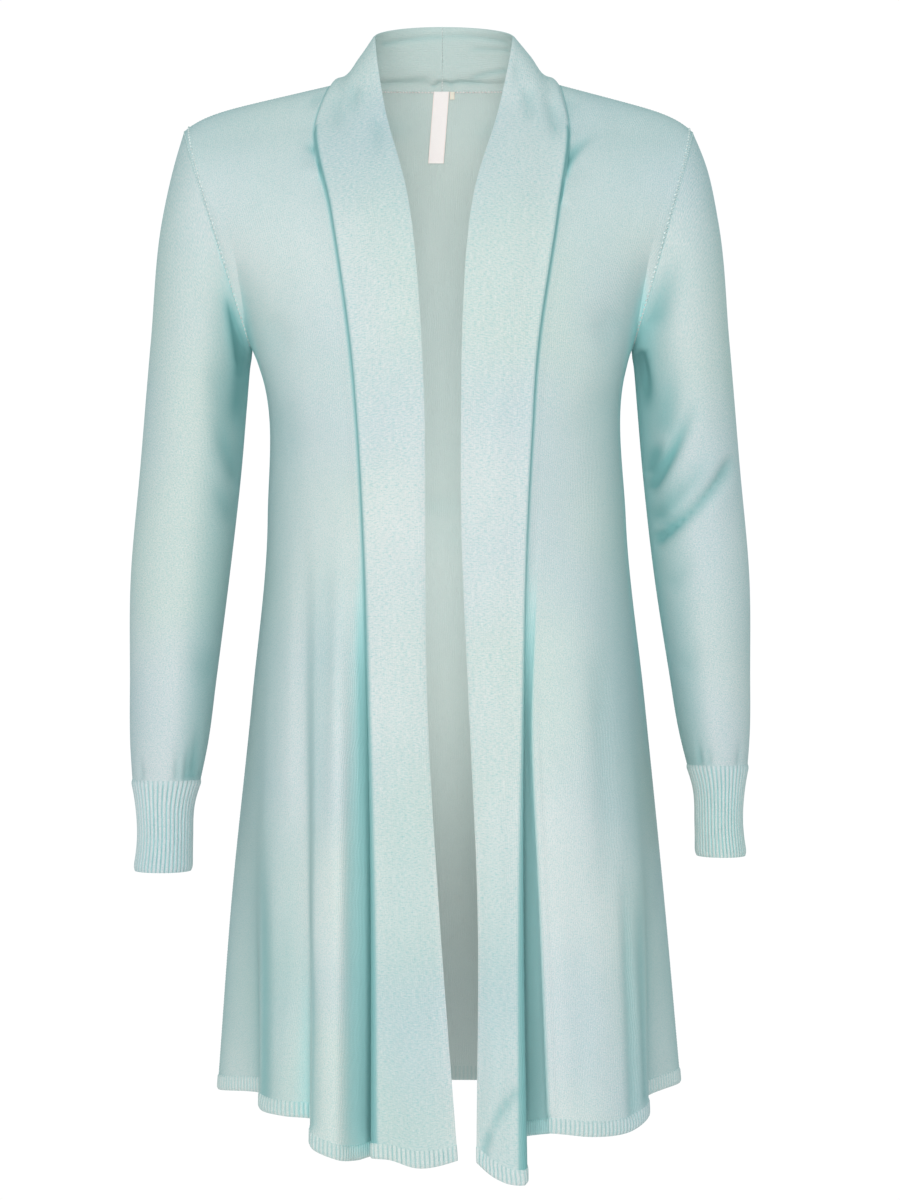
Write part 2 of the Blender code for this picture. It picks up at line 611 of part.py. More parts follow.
def add_sleeve(name, side_name, material):
    grid = sleeve_grid(side_name)
    trimmed = grid.copy()
    trimmed[0] += retreat(grid[0], grid[1], closed=True)
    trimmed[-1] += retreat(grid[-1], grid[-2], closed=True)
    normals = sleeve_normals(grid)
    add_wall(name, mirrored(trimmed, side_name), mirrored(normals, side_name), WALL, material, closed=True)


def add_label(name, label, inside, material):
    """A woven label that hangs from the back neck seam, made from the inner points of the back."""
    down = (np.arange(LABEL_ROWS + 1) / LABEL_ROWS)[:, None]
    across = np.arange(LABEL_COLUMNS + 1) / LABEL_COLUMNS - 0.5
    x = label.x + label.lean * down + label.width * across
    z = label.z_top - label.height * down + np.zeros_like(x)
    y = np.zeros_like(x)
    for i in range(LABEL_ROWS + 1):
        for j in range(LABEL_COLUMNS + 1):
            depth = [np.interp(x[i, j], line[:, 0], line[:, 1]) for line in inside]
            height = [np.interp(x[i, j], line[:, 0], line[:, 2]) for line in inside]
            y[i, j] = np.interp(z[i, j], height, depth) - LABEL_CLEARANCE
    outward = np.array(BACKWARD) + np.zeros((*x.shape, 3))
    add_wall(name, np.stack([x, y, z], axis=2), outward, LABEL_THICKNESS, material)


def new_material(name, colour, roughness):
    material = bpy.data.materials.new(name)
    material.use_nodes = True
    shader = material.node_tree.nodes["Principled BSDF"]
    shader.inputs["Base Color"].default_value = colour
    shader.inputs["Roughness"].default_value = roughness
    shader.inputs["Metallic"].default_value = 0.0
    return material


# Seams
def shared(first, second):
    """The common normal of two panels at their seam, so that their end faces are parallel."""
    return unit(first + second)


def side_panels(side_name):
    """The grids of one side's front, band and half back, and their normals, shared where they meet."""
    front, band, back = front_grid(side_name), band_grid(side_name), back_half(side_name)
    front_out, band_out = grid_normals(front, 1.0), grid_normals(band, 1.0)
    back_out = grid_normals(back, -1.0)
    top = LEVEL_ROWS["shoulder"]
    front_out[:, 0] = band_out[: top + 1, -1] = shared(front_out[:, 0], band_out[: top + 1, -1])
    front_out[:, -1] = back_out[:, -1] = shared(front_out[:, -1], back_out[:, -1])
    seam = shoulder_seam(side_name, [0.0, 1.0])
    along = unit(seam[1] - seam[0])
    over = unit(np.array([0.0, 0.0, 1.0]) - along * along[2])
    front_out[-1, 1:-1] = over
    back_out[-1, NECK_ROWS + 1 : -1] = over
    neck = shared(back_out[-1, NECK_ROWS::-1], band_out[top:, -1])
    neck[0] = shared(over, band_out[top, -1])
    front_out[-1, 0] = neck[0]
    band_out[top:, -1] = neck
    back_out[-1, NECK_ROWS::-1] = neck
    loop = sleeve_normals(sleeve_grid(side_name))[0]
    front_out[-ARMHOLE_ROWS - 1 :, -1] = loop[: ARMHOLE_ROWS + 1]
    back_out[-ARMHOLE_ROWS - 1 :, -1] = np.roll(loop[::-1], 1, axis=0)[: ARMHOLE_ROWS + 1]
    for middle in (band_out[-1], back_out[:, 0]):
        middle[:, 0] = 0.0
        middle[:] = unit(middle)
    return (front, front_out), (band, band_out), (back, back_out)


def joined_back(halves):
    """The two half backs as one grid, from the wearer's right side seam to the left one."""
    return np.concatenate([mirrored(halves["right"][:, :0:-1], "right"), halves["left"]], axis=1)


def build():
    for obj in list(bpy.data.objects):
        bpy.data.objects.remove(obj)
    knit = new_material("fine knit", KNIT_COLOUR, KNIT_ROUGHNESS)
    rib = new_material("ribbed knit", RIB_COLOUR, KNIT_ROUGHNESS)
    tape = new_material("label tape", LABEL_COLOUR, LABEL_ROUGHNESS)
    halves, halves_out = {}, {}
    for side_name in SIDES:
        front, band, back = side_panels(side_name)
        halves[side_name], halves_out[side_name] = back
        grid, normals = (mirrored(values, side_name) for values in front)
        add_wall("front_" + side_name, trim(grid[1:], armholes="last"), normals[1:], WALL, knit)
        add_hem_rib("hem_rib_front_" + side_name, grid, normals, WALL, rib)
        grid, normals = (mirrored(values, side_name) for values in band)
        add_wall("band_" + side_name, trim(grid[1:], "bottom top last"), normals[1:], BAND_WALL, knit)
        add_hem_rib("hem_rib_band_" + side_name, grid, normals, BAND_WALL, rib)
        add_sleeve("sleeve_" + side_name, side_name, knit)
        add_cuff("cuff_" + side_name, side_name, rib)
    grid, normals = joined_back(halves), joined_back(halves_out)
    panel = trim(grid[1:], armholes="first last")
    add_wall("back", panel, normals[1:], WALL, knit)
    add_hem_rib("hem_rib_back", grid, normals, WALL, rib)
    middle = grid.shape[1] // 2
    near_label = slice(middle - NECK_ROWS, middle + NECK_ROWS + 1)
    inside = (panel - normals[1:] * WALL)[-ARMHOLE_ROWS:, near_label]
    for name, label in LABELS.items():
        add_label(name, label, inside, tape)


build()
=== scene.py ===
# %% [markdown]
# # A long open-front cardigan in fine knit
#
# A cardigan like this is knitted in flat panels that are shaped on the machine and then linked together:
# a back, two fronts, two sleeves with ribbed cuffs, and one wide band that runs up each front and stands
# round the back of the neck. It is shown filled out, as if worn, with nobody in it.
#
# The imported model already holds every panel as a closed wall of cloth. This notebook loads it as a fixed
# frame, lays a finer panel over each of its walls, and adds what a knitter would look for: creases, raised
# ribs, linked seams and the stitches themselves.

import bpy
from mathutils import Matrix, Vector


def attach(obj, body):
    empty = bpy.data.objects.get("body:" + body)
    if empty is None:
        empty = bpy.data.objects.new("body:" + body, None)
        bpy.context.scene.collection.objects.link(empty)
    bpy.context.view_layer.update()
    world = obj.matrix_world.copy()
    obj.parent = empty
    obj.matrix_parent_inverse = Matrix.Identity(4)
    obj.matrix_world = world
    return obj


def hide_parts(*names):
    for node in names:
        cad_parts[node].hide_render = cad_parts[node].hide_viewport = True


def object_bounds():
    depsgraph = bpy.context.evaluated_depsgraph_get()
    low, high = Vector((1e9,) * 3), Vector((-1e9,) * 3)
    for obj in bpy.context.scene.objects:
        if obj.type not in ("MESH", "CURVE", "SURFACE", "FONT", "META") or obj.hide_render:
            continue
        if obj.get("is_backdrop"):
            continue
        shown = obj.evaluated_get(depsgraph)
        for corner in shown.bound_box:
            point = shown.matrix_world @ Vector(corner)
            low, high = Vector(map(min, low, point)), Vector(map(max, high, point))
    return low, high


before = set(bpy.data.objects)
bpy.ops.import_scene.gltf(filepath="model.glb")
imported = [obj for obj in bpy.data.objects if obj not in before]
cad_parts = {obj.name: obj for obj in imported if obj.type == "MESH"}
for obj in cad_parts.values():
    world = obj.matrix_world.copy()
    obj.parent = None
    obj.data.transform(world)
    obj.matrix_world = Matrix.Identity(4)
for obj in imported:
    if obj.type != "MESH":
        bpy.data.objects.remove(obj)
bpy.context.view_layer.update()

# %% Modules
import math
from collections import namedtuple

import bpy
import numpy as np
from mathutils import Vector

# %% [markdown]
# ## The camera and the light
#
# The garment is seen straight from the front, at the height of its middle, through a long lens that keeps
# both sleeves square to the view.
#
# One lamp at the side would leave the long grooves, the inner back and the outer back in the dark. So four
# soft ones share the work: a key as wide as a doorway at the left of the camera, a smaller fill close to the
# lens that looks down into the grooves, one behind for the back, and a narrow one inside the garment.
#
# The room around is pale with a breath of sea green, so that a surface that turns away from the lamps keeps
# its colour and doesn't go grey. The floor is warmer to make up for that, so it still reads as a plain pale
# grey. It is where a wearer would stand, well below the hem.

# %% Camera
CAMERA_PLACE = (0.0064, -3.2, -0.40)
LENS_MM = 120.0
SENSOR_MM = 36.0


def add_camera():
    """A camera level with the middle of the garment, looking along +Y."""
    data = bpy.data.cameras.new("camera")
    data.lens = LENS_MM
    data.sensor_width = SENSOR_MM
    camera = bpy.data.objects.new("camera", data)
    camera.location = CAMERA_PLACE
    camera.rotation_euler = (math.radians(90), 0, 0)
    bpy.context.scene.collection.objects.link(camera)
    bpy.context.scene.camera = camera
    return camera


camera = add_camera()
print("camera at", tuple(camera.location), "lens", camera.data.lens)

# %% Lights
Lamp = namedtuple("Lamp", "name place aim width height power colour")
LAMPS = (
    Lamp("key", (-0.70, -3.7, 0.30), (0.0, 0.0, -0.36), 2.0, 2.4, 46.0, (1.0, 0.90, 0.89)),
    Lamp("fill", (0.12, -3.5, -0.35), (0.0, 0.0, -0.42), 0.7, 1.0, 32.0, (1.0, 0.90, 0.89)),
    Lamp("behind", (0.60, 3.7, 0.30), (0.0, 0.0, -0.36), 2.0, 2.4, 44.0, (1.0, 0.90, 0.89)),
    Lamp("inner", (0.0, -0.050, -0.325), (0.0, 1.0, -0.28), 0.16, 0.50, 0.32, (1.0, 0.97, 0.96)),
)
ROOM_COLOUR = (0.68, 0.98, 1.0, 1.0)
ROOM_LIGHT = 0.60
BACKDROP_LIGHT = 1.02


def add_lamp(lamp):
    """A soft light, wide and high, that faces its aim. The lamp itself isn't seen."""
    data = bpy.data.lights.new(lamp.name, "AREA")
    data.shape = "RECTANGLE"
    data.size = lamp.width
    data.size_y = lamp.height
    data.energy = lamp.power
    data.color = lamp.colour
    light = bpy.data.objects.new(lamp.name, data)
    light.location = lamp.place
    light.rotation_euler = (Vector(lamp.aim) - Vector(lamp.place)).to_track_quat("-Z", "Y").to_euler()
    light.visible_camera = False
    bpy.context.scene.collection.objects.link(light)
    return light


for lamp in LAMPS:
    add_lamp(lamp)
print("lamps:", [lamp.name for lamp in LAMPS])

# %% [markdown]
# ## A way to write materials
#
# A material is a small network of nodes. Written out node by node, a formula such as `1 - mask` takes four
# lines and hides what it means. So a socket is wrapped in a class that adds the Math node by itself when it
# meets a plus or a minus, and one method makes every other kind of node.

# %% Shader values
class Value:
    """The value of a socket. Used in an expression, it adds the Math nodes that work it out."""

    def __init__(self, maker, socket):
        self.maker = maker
        self.socket = socket

    def math(self, operation, *values):
        return self.maker.node("ShaderNodeMath", {"operation": operation}, *values)

    def __add__(self, other):
        return self.math("ADD", self, other)

    __radd__ = __add__

    def __sub__(self, other):
        return self.math("SUBTRACT", self, other)

    def __rsub__(self, other):
        return self.math("SUBTRACT", other, self)

    def __mul__(self, other):
        return self.math("MULTIPLY", self, other)

    __rmul__ = __mul__

    def __truediv__(self, other):
        return self.math("DIVIDE", self, other)

    def sine(self):
        return self.math("SINE", self)

    def absolute(self):
        return self.math("ABSOLUTE", self)

    def fraction(self):
        return self.math("FRACT", self)

    def power(self, exponent):
        return self.math("POWER", self, exponent)

    def between(self, low, high):
        """0 up to low and 1 from high, straight between them."""
        return self.maker.node("ShaderNodeMapRange", {"clamp": True}, self, low, high, 0.0, 1.0)


class Maker:
    """Adds nodes to one material or world."""

    def __init__(self, tree):
        self.tree = tree

    def put(self, socket, value):
        """Links a value to a socket, or sets a plain number or colour on it."""
        if isinstance(value, Value):
            self.tree.links.new(value.socket, socket)
        else:
            socket.default_value = value

    def node(self, kind, settings=None, *values, out=0, **named):
        """A node of any kind: its settings first, then the values of its sockets in order or by name."""
        node = self.tree.nodes.new(kind)
        for name, setting in (settings or {}).items():
            setattr(node, name, setting)
        sockets = [socket for socket in node.inputs if socket.enabled]
        for socket, value in zip(sockets, values):
            if value is not None:
                self.put(socket, value)
        for name, value in named.items():
            self.put(node.inputs[name.replace("_", " ")], value)
        outputs = [socket for socket in node.outputs if socket.enabled]
        found = node.outputs[out] if isinstance(out, str) else outputs[out]
        return Value(self, found)

    def blend(self, share, first, second, how="MIX"):
        """A mix of two colours: the first at share 0, the second at share 1."""
        return self.node("ShaderNodeMix", {"data_type": "RGBA", "blend_type": how}, share, first, second)

    def noise(self, place, scale, detail=2.0, roughness=0.5):
        settings = {"noise_dimensions": "3D"}
        sockets = {"Vector": place, "Scale": scale, "Detail": detail, "Roughness": roughness}
        return self.node("ShaderNodeTexNoise", settings, **sockets)


print("expressions such as 1 - mask now add their own nodes")

# %% The room and the floor
FLOOR_HEIGHT = -1.42
FLOOR_RADIUS = 3.2
FLOOR_COLOUR = (0.92, 0.76, 0.75, 1.0)


def light_room():
    """A pale room: white where the camera looks at it, sea green and softer where it lights the cloth."""
    world = bpy.data.worlds.new("room")
    world.use_nodes = True
    world.node_tree.nodes.clear()
    make = Maker(world.node_tree)
    seen = make.node("ShaderNodeLightPath", None, out="Is Camera Ray")
    glow = make.node("ShaderNodeBackground", None, ROOM_COLOUR, ROOM_LIGHT)
    backdrop = make.node("ShaderNodeBackground", None, (1.0, 1.0, 1.0, 1.0), BACKDROP_LIGHT)
    both = make.node("ShaderNodeMixShader", None, seen, glow, backdrop)
    output = world.node_tree.nodes.new("ShaderNodeOutputWorld")
    make.put(output.inputs["Surface"], both)
    bpy.context.scene.world = world
    bpy.context.scene.view_settings.view_transform = "Standard"


def add_floor():
    """A plain round floor."""
    turns = 2 * math.pi * np.arange(96) / 96
    rim = [(FLOOR_RADIUS * math.cos(t), FLOOR_RADIUS * math.sin(t), FLOOR_HEIGHT) for t in turns]
    mesh = bpy.data.meshes.new("floor")
    mesh.from_pydata(rim, [], [list(range(len(rim)))])
    floor = bpy.data.objects.new("floor", mesh)
    paint = bpy.data.materials.new("floor paint")
    paint.use_nodes = True
    shader = paint.node_tree.nodes["Principled BSDF"]
    shader.inputs["Base Color"].default_value = FLOOR_COLOUR
    shader.inputs["Roughness"].default_value = 0.9
    mesh.materials.append(paint)
    bpy.context.scene.collection.objects.link(floor)
    floor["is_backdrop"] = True
    return floor


light_room()
floor = add_floor()
print("floor at", FLOOR_HEIGHT)

# %% [markdown]
# ## The garment's own sizes
#
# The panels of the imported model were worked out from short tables: plain sections of a worn body, the lines
# of the front band, and the fold lines of each front and of the back. The same tables serve here, because a
# finer panel has to lie on the same form. Only the number of rows and columns between the lines is larger.
#
# X runs to the wearer's left, Y to the back and Z up, in metres, from the base of the neck. The tables give
# the left and right sides apart, with x measured outwards from the middle of the body.

# %% Cloth, levels and fineness
WALL = 0.0016
BAND_WALL = 0.0018
HEM_RIB_HEIGHT = 0.012
SIDES = {"left": 1.0, "right": -1.0}
FINE_UP = 8
FINE_ACROSS = 6

LEVELS = ("hem", "rib_top", "thigh", "hip", "waist", "bust", "armpit", "chest", "upper", "shoulder")
ROWS_BETWEEN = tuple(FINE_UP * rows for rows in (1, 3, 3, 2, 3, 1, 5, 3, 2))
ARMHOLE_ROWS = FINE_UP * 10
ARMPIT = LEVELS.index("armpit")
LEVEL_ROWS = dict(zip(LEVELS, np.concatenate([[0], np.cumsum(ROWS_BETWEEN)])))
GUIDE_LEVELS = tuple(level for level in LEVELS if level not in ("rib_top", "shoulder"))
print("rows up the garment:", LEVEL_ROWS["shoulder"])

# %% Sections of the worn body
Section = namedtuple("Section", "z side_z left right front back squareness")
SECTIONS = {
    "waist": Section(-0.335, -0.335, 0.1468, 0.1392, 0.127, 0.092, 2.3),
    "bust": Section(-0.262, -0.216, 0.1470, 0.1452, 0.127, 0.104, 2.3),
    "armpit": Section(-0.225, -0.200, 0.1520, 0.1520, 0.122, 0.108, 2.4),
    "chest": Section(-0.100, -0.100, 0.2000, 0.2000, 0.095, 0.101, 2.6),
    "upper": Section(-0.030, -0.030, 0.2500, 0.2500, 0.046, 0.078, 3.0),
}
SIDE_RISE_SHARPNESS = 6
SKIRT_HEIGHT = {"thigh": -0.640, "hip": -0.480}
print("sections:", list(SECTIONS))

# %% The front band and the neck
BandRow = namedtuple("BandRow", "free fold seam")
BAND = {
    "left": {
        "hem": BandRow((0.0263, -0.142, -0.8301), (0.0594, -0.150, -0.8468), (0.0575, -0.075, -0.8200)),
        "thigh": BandRow((0.0273, -0.138, -0.640), (0.0594, -0.141, -0.640), (0.0585, -0.094, -0.640)),
        "hip": BandRow((0.0206, -0.134, -0.480), (0.0621, -0.135, -0.480), (0.0610, -0.113, -0.480)),
        "waist": BandRow((0.0148, -0.132, -0.335), (0.0660, -0.131, -0.335), (0.0666, -0.122, -0.335)),
        "bust": BandRow((0.0148, -0.131, -0.257), (0.0699, -0.129, -0.261), (0.0709, -0.122, -0.262)),
        "armpit": BandRow((0.0152, -0.129, -0.213), (0.0722, -0.126, -0.222), (0.0732, -0.119, -0.225)),
        "chest": BandRow((0.0242, -0.101, -0.0875), (0.0898, -0.095, -0.097), (0.0910, -0.088, -0.100)),
        "upper": BandRow((0.0453, -0.045, -0.010), (0.0985, -0.046, -0.024), (0.1008, -0.040, -0.029)),
    },
    "right": {
        "hem": BandRow((-0.0125, -0.140, -0.8290), (0.0500, -0.141, -0.8276), (0.0544, -0.093, -0.8320)),
        "thigh": BandRow((0.0017, -0.138, -0.640), (0.0514, -0.139, -0.640), (0.0545, -0.102, -0.640)),
        "hip": BandRow((0.0109, -0.134, -0.480), (0.0553, -0.135, -0.480), (0.0575, -0.112, -0.480)),
        "waist": BandRow((0.0126, -0.132, -0.335), (0.0606, -0.131, -0.335), (0.0620, -0.122, -0.335)),
        "bust": BandRow((0.0131, -0.131, -0.257), (0.0649, -0.129, -0.261), (0.0661, -0.122, -0.262)),
        "armpit": BandRow((0.0148, -0.129, -0.213), (0.0680, -0.126, -0.222), (0.0692, -0.119, -0.225)),
        "chest": BandRow((0.0262, -0.101, -0.0875), (0.0855, -0.095, -0.097), (0.0867, -0.088, -0.100)),
        "upper": BandRow((0.0453, -0.045, -0.010), (0.0985, -0.046, -0.024), (0.1008, -0.040, -0.029)),
    },
}
BAND_MID_DROP = {"left": 0.0040, "right": 0.0062}
BAND_CROWN = 0.003
BAND_ROLL = 0.008
BAND_STEPS = tuple(FINE_ACROSS * steps for steps in (2, 2, 1, 2))
OUT = (1.0, 0.0, 0.0)
BACKWARD = (0.0, 1.0, 0.0)
FORWARD = (0.0, -1.0, 0.0)

NECK_SIDE = {"left": (0.0940, 0.010, 0.0130), "right": (0.0892, 0.010, 0.0125)}
NECK_BACK = (0.0, 0.070, 0.0153)
COLLAR_SIDE = {"left": (0.0572, 0.000, 0.0512), "right": (0.0543, 0.000, 0.0512)}
COLLAR_BACK = (0.0, 0.055, 0.0663)
COLLAR_HOLLOW = {"left": 0.0015, "right": 0.0030}
COLLAR_FOLD_SHARE = 0.14
COLLAR_TURN = (0.0, 0.96, 0.27)
NECK_CENTRE = (0.0, 0.012)
NECK_ROWS = FINE_UP * 5
SHOULDER_ROUND = 0.25
print("columns across the band:", sum(BAND_STEPS))

# %% Fold lines of the fronts
FoldLine = namedtuple("FoldLine", "name share hip thigh hem steps")
FRONT_FOLDS = {
    "left": (
        FoldLine("groove flank", 0.055, (0.0690, -0.1235), (0.0747, -0.1225), (0.0803, -0.1200, -0.8112), 2),
        FoldLine("groove ridge", 0.07, (0.0706, -0.127), (0.0778, -0.130), (0.0847, -0.131, -0.8095), 1),
        FoldLine("ridge top", 0.11, (0.0765, -0.1275), (0.0835, -0.1310), (0.0905, -0.1320, -0.8098), 1),
        FoldLine("panel middle", 0.30, (0.1040, -0.122), (0.1090, -0.125), (0.1140, -0.128, -0.8125), 3),
        FoldLine("soft crease", 0.58, (0.1310, -0.096), (0.1410, -0.101), (0.1459, -0.106, -0.8115), 3),
        FoldLine("fold edge", 0.72, (0.1445, -0.072), (0.1560, -0.078), (0.1610, -0.082, -0.8040), 2),
        FoldLine("fold valley", 0.84, (0.1525, -0.048), (0.1615, -0.046), (0.1590, -0.044, -0.7955), 2),
        FoldLine("side seam", 1.00, (0.1620, 0.004), (0.1783, 0.012), (0.1920, 0.022, -0.7880), 3),
    ),
    "right": (
        FoldLine("groove flank", 0.06, (0.0660, -0.123), (0.0655, -0.118), (0.0660, -0.116, -0.8322), 2),
        FoldLine("first ridge", 0.16, (0.0800, -0.131), (0.0800, -0.134), (0.0817, -0.137, -0.8285), 2),
        FoldLine("first edge", 0.28, (0.0980, -0.119), (0.0985, -0.125), (0.0999, -0.129, -0.8215), 2),
        FoldLine("first valley", 0.36, (0.1050, -0.106), (0.1035, -0.104), (0.0990, -0.098, -0.8035), 2),
        FoldLine("second ridge", 0.50, (0.1190, -0.095), (0.1205, -0.096), (0.1223, -0.098, -0.8005), 2),
        FoldLine("second edge", 0.66, (0.1340, -0.073), (0.1385, -0.077), (0.1412, -0.080, -0.7985), 2),
        FoldLine("second valley", 0.80, (0.1425, -0.050), (0.1475, -0.046), (0.1400, -0.042, -0.7915), 2),
        FoldLine("side seam", 1.00, (0.1520, 0.004), (0.1688, 0.012), (0.1807, 0.022, -0.7935), 3),
    ),
}
UNDERARM_TURN = (0.72, 0.0, 0.69)
NECK_BACK_TURN = (0.0, -0.35, 0.94)
SIDE_EASE = 3 * FINE_ACROSS

Turn = namedtuple("Turn", "first last")
TURN = {
    "hem": Turn(0.0, 1.0),
    "thigh": Turn(0.0, 1.0),
    "hip": Turn(0.3, 1.0),
    "waist": Turn(1.0, 1.0),
    "bust": Turn(1.0, 1.0),
    "armpit": Turn(1.0, 0.9),
    "chest": Turn(1.0, 0.5),
    "upper": Turn(0.5, 0.2),
}
print("fold lines:", {side: len(folds) for side, folds in FRONT_FOLDS.items()})

# %% Fold lines of the back, and the sleeves
BackLine = namedtuple("BackLine", "name share shoulder hip thigh hem steps")
BACK_FOLDS = (
    BackLine("middle", 0.00, 0.00, (0.0, 0.102), (0.0, 0.104), (0.0, 0.108, -0.7967), 5),
    BackLine("neck line", 0.24, 0.00, (0.0560, 0.107), (0.0590, 0.118), (0.0630, 0.131, -0.8000), 3),
    BackLine("side hollow", 0.54, 0.34, (0.1040, 0.091), (0.1110, 0.090), (0.1170, 0.088, -0.7970), 3),
    BackLine("side flare", 0.78, 0.70, (0.1400, 0.062), (0.1560, 0.067), (0.1690, 0.075, -0.7950), 3),
)
SleeveRow = namedtuple("SleeveRow", "name x_out z_out x_in z_in y_mid y_half steps")
SLEEVE = (
    SleeveRow("armhole", 0.1990, -0.026, 0.1520, -0.2000, 0.004, 0.0575, 0),
    SleeveRow("cap", 0.2112, -0.052, 0.1525, -0.2060, 0.004, 0.0580, 1),
    SleeveRow("upper arm", 0.2208, -0.096, 0.1536, -0.2135, 0.003, 0.0585, 2),
    SleeveRow("biceps", 0.2296, -0.192, 0.1562, -0.2460, 0.000, 0.0570, 3),
    SleeveRow("above elbow", 0.2376, -0.292, 0.1610, -0.3050, -0.005, 0.0520, 3),
    SleeveRow("elbow", 0.2448, -0.384, 0.1696, -0.3840, -0.014, 0.0465, 2),
    SleeveRow("forearm", 0.2448, -0.455, 0.1802, -0.4550, -0.021, 0.0435, 2),
    SleeveRow("wrist", 0.2440, -0.508, 0.1890, -0.5080, -0.026, 0.0400, 2),
    SleeveRow("cuff top", 0.2422, -0.530, 0.1944, -0.5300, -0.029, 0.0365, 1),
)
CUFF = (
    SleeveRow("cuff top", 0.2422, -0.530, 0.1944, -0.5300, -0.029, 0.0365, 0),
    SleeveRow("cuff neck", 0.2388, -0.548, 0.2000, -0.5480, -0.030, 0.0330, 1),
    SleeveRow("cuff middle", 0.2370, -0.578, 0.2016, -0.5780, -0.032, 0.0325, 1),
    SleeveRow("cuff edge", 0.2400, -0.6020, 0.2016, -0.6020, -0.034, 0.0335, 1),
)
SleeveFit = namedtuple("SleeveFit", "x_tip z_tip wider longer fuller")
SLEEVE_FIT = {
    "left": SleeveFit(0.2005, -0.0256, 0.0, 0.0, 0.0),
    "right": SleeveFit(0.2062, -0.0250, 0.0030, 0.012, 0.0030),
}
WRIST_FIT_FROM = -0.40
WRIST_FIT_OVER = 0.13
SLEEVE_SIDES = 2 * ARMHOLE_ROWS
print("columns round a sleeve:", SLEEVE_SIDES)

# %% [markdown]
# ## Smooth lines through a few points
#
# A panel of cloth is worked out as a grid of points, rows up and columns across. Each line of the grid is
# a smooth curve through the few places that the tables give. A subdivision surface over a coarse cage could
# give as smooth a panel, but it would pull away from the named lines, and the seams would no longer meet.

# %% Curves
def unit(vector):
    return vector / np.maximum(np.linalg.norm(vector, axis=-1, keepdims=True), 1e-12)


def smooth_curve(points, steps, start=None, end=None):
    """Points on a smooth curve through the given ones, steps[i] of them to each gap, with end directions."""
    points = np.asarray(points, float)
    gaps = np.linalg.norm(np.diff(points, axis=0), axis=1)[:, None]
    rates = np.diff(points, axis=0) / gaps
    slopes = np.zeros_like(points)
    slopes[1:-1] = (rates[:-1] * gaps[1:] + rates[1:] * gaps[:-1]) / (gaps[:-1] + gaps[1:])
    slopes[0] = 1.5 * rates[0] - 0.5 * slopes[1] if start is None else start
    slopes[-1] = 1.5 * rates[-1] - 0.5 * slopes[-2] if end is None else end
    curve = []
    for i, count in enumerate(steps):
        t = (np.arange(count) / count)[:, None]
        curve.append(
            (1 + 2 * t) * (1 - t) ** 2 * points[i]
            + t * (1 - t) ** 2 * gaps[i] * slopes[i]
            + t * t * (3 - 2 * t) * points[i + 1]
            - t * t * (1 - t) * gaps[i] * slopes[i + 1]
        )
    return np.vstack(curve + [points[-1:]])


def grid_normals(grid, side):
    """Unit normals of a grid of rows up and columns outwards, pointing out of the body."""
    up = np.gradient(grid, axis=0)
    across = np.gradient(grid, axis=1)
    return unit(np.cross(across, up)) * side


def level_share(level_from, level_to):
    """Share from 0 to 1 of each row's way between two levels, one value to each row from the hem up."""
    low, high = LEVEL_ROWS[level_from], LEVEL_ROWS[level_to]
    return np.clip((np.arange(LEVEL_ROWS["shoulder"] + 1) - low) / (high - low), 0, 1)


def blend_direction(wanted, natural, weight):
    """A direction between a wanted one at weight 1 and the natural one at weight 0."""
    return unit(np.array(wanted) * weight + unit(natural) * (1 - weight))


def spread(shares, steps):
    """Shares at the guides filled in for the columns between them."""
    return np.interp(np.arange(sum(steps) + 1), np.concatenate([[0], np.cumsum(steps)]), shares)


sample_curve = smooth_curve([[0, 0], [1, 1], [2, 0]], [4, 4])
print("a curve of 3 points and 4 steps a gap has", len(sample_curve), "points")

# %% Seams of the worn body
def ring_point(level, side_name, angle, front):
    """A point of a plain section: angle 0 is the side, a right angle is the middle of the front or back."""
    section = SECTIONS[level]
    power = 2 / section.squareness
    depth = -section.front if front else section.back
    x = getattr(section, side_name) * max(math.cos(angle), 0.0) ** power
    lift = (section.side_z - section.z) * max(math.cos(angle), 0.0) ** SIDE_RISE_SHARPNESS
    return np.array([x, depth * math.sin(angle) ** power, section.z + lift])


def ring_angle(level, side_name, x):
    section = SECTIONS[level]
    return math.acos(min(1.0, x / getattr(section, side_name)) ** (section.squareness / 2))


def sleeve_row(row, side_name):
    """One side's own section: outer x and z, inner x and z, middle and half depth."""
    fit = SLEEVE_FIT[side_name]
    share = min(1.0, max(0.0, (WRIST_FIT_FROM - row.z_out) / WRIST_FIT_OVER))
    x_out, z_out = row.x_out + fit.wider, row.z_out - fit.longer * share
    if row.name == "armhole":
        x_out, z_out = fit.x_tip, fit.z_tip
    x_in, z_in = row.x_in - fit.fuller * share, row.z_in - fit.longer * share
    return np.array([x_out, z_out, x_in, z_in, row.y_mid, row.y_half])


def sleeve_ring(values, angles):
    """Points round a sleeve section. The angle runs from the inner line by the front to the outer line."""
    x_out, z_out, x_in, z_in, y_mid, y_half = values
    share = (1 - np.cos(angles)) / 2
    return np.stack(
        [x_in + (x_out - x_in) * share, y_mid - y_half * np.sin(angles), z_in + (z_out - z_in) * share],
        axis=1,
    )


def armhole(side_name, front):
    """The armhole seam from the armpit to the shoulder, by the front or the back."""
    turn = math.pi if front else -math.pi
    angles = turn * np.arange(ARMHOLE_ROWS + 1) / ARMHOLE_ROWS
    return sleeve_ring(sleeve_row(SLEEVE[0], side_name), angles)


def shoulder_seam(side_name, shares):
    """Points of the shoulder seam, from the neck at 0 to the armhole at 1."""
    neck, tip = np.array(NECK_SIDE[side_name]), armhole(side_name, True)[-1]
    shares = np.asarray(shares, float)[:, None]
    drop = (1 - SHOULDER_ROUND) * shares + SHOULDER_ROUND * shares**8
    return neck + (tip - neck) * np.hstack([shares, shares, drop])


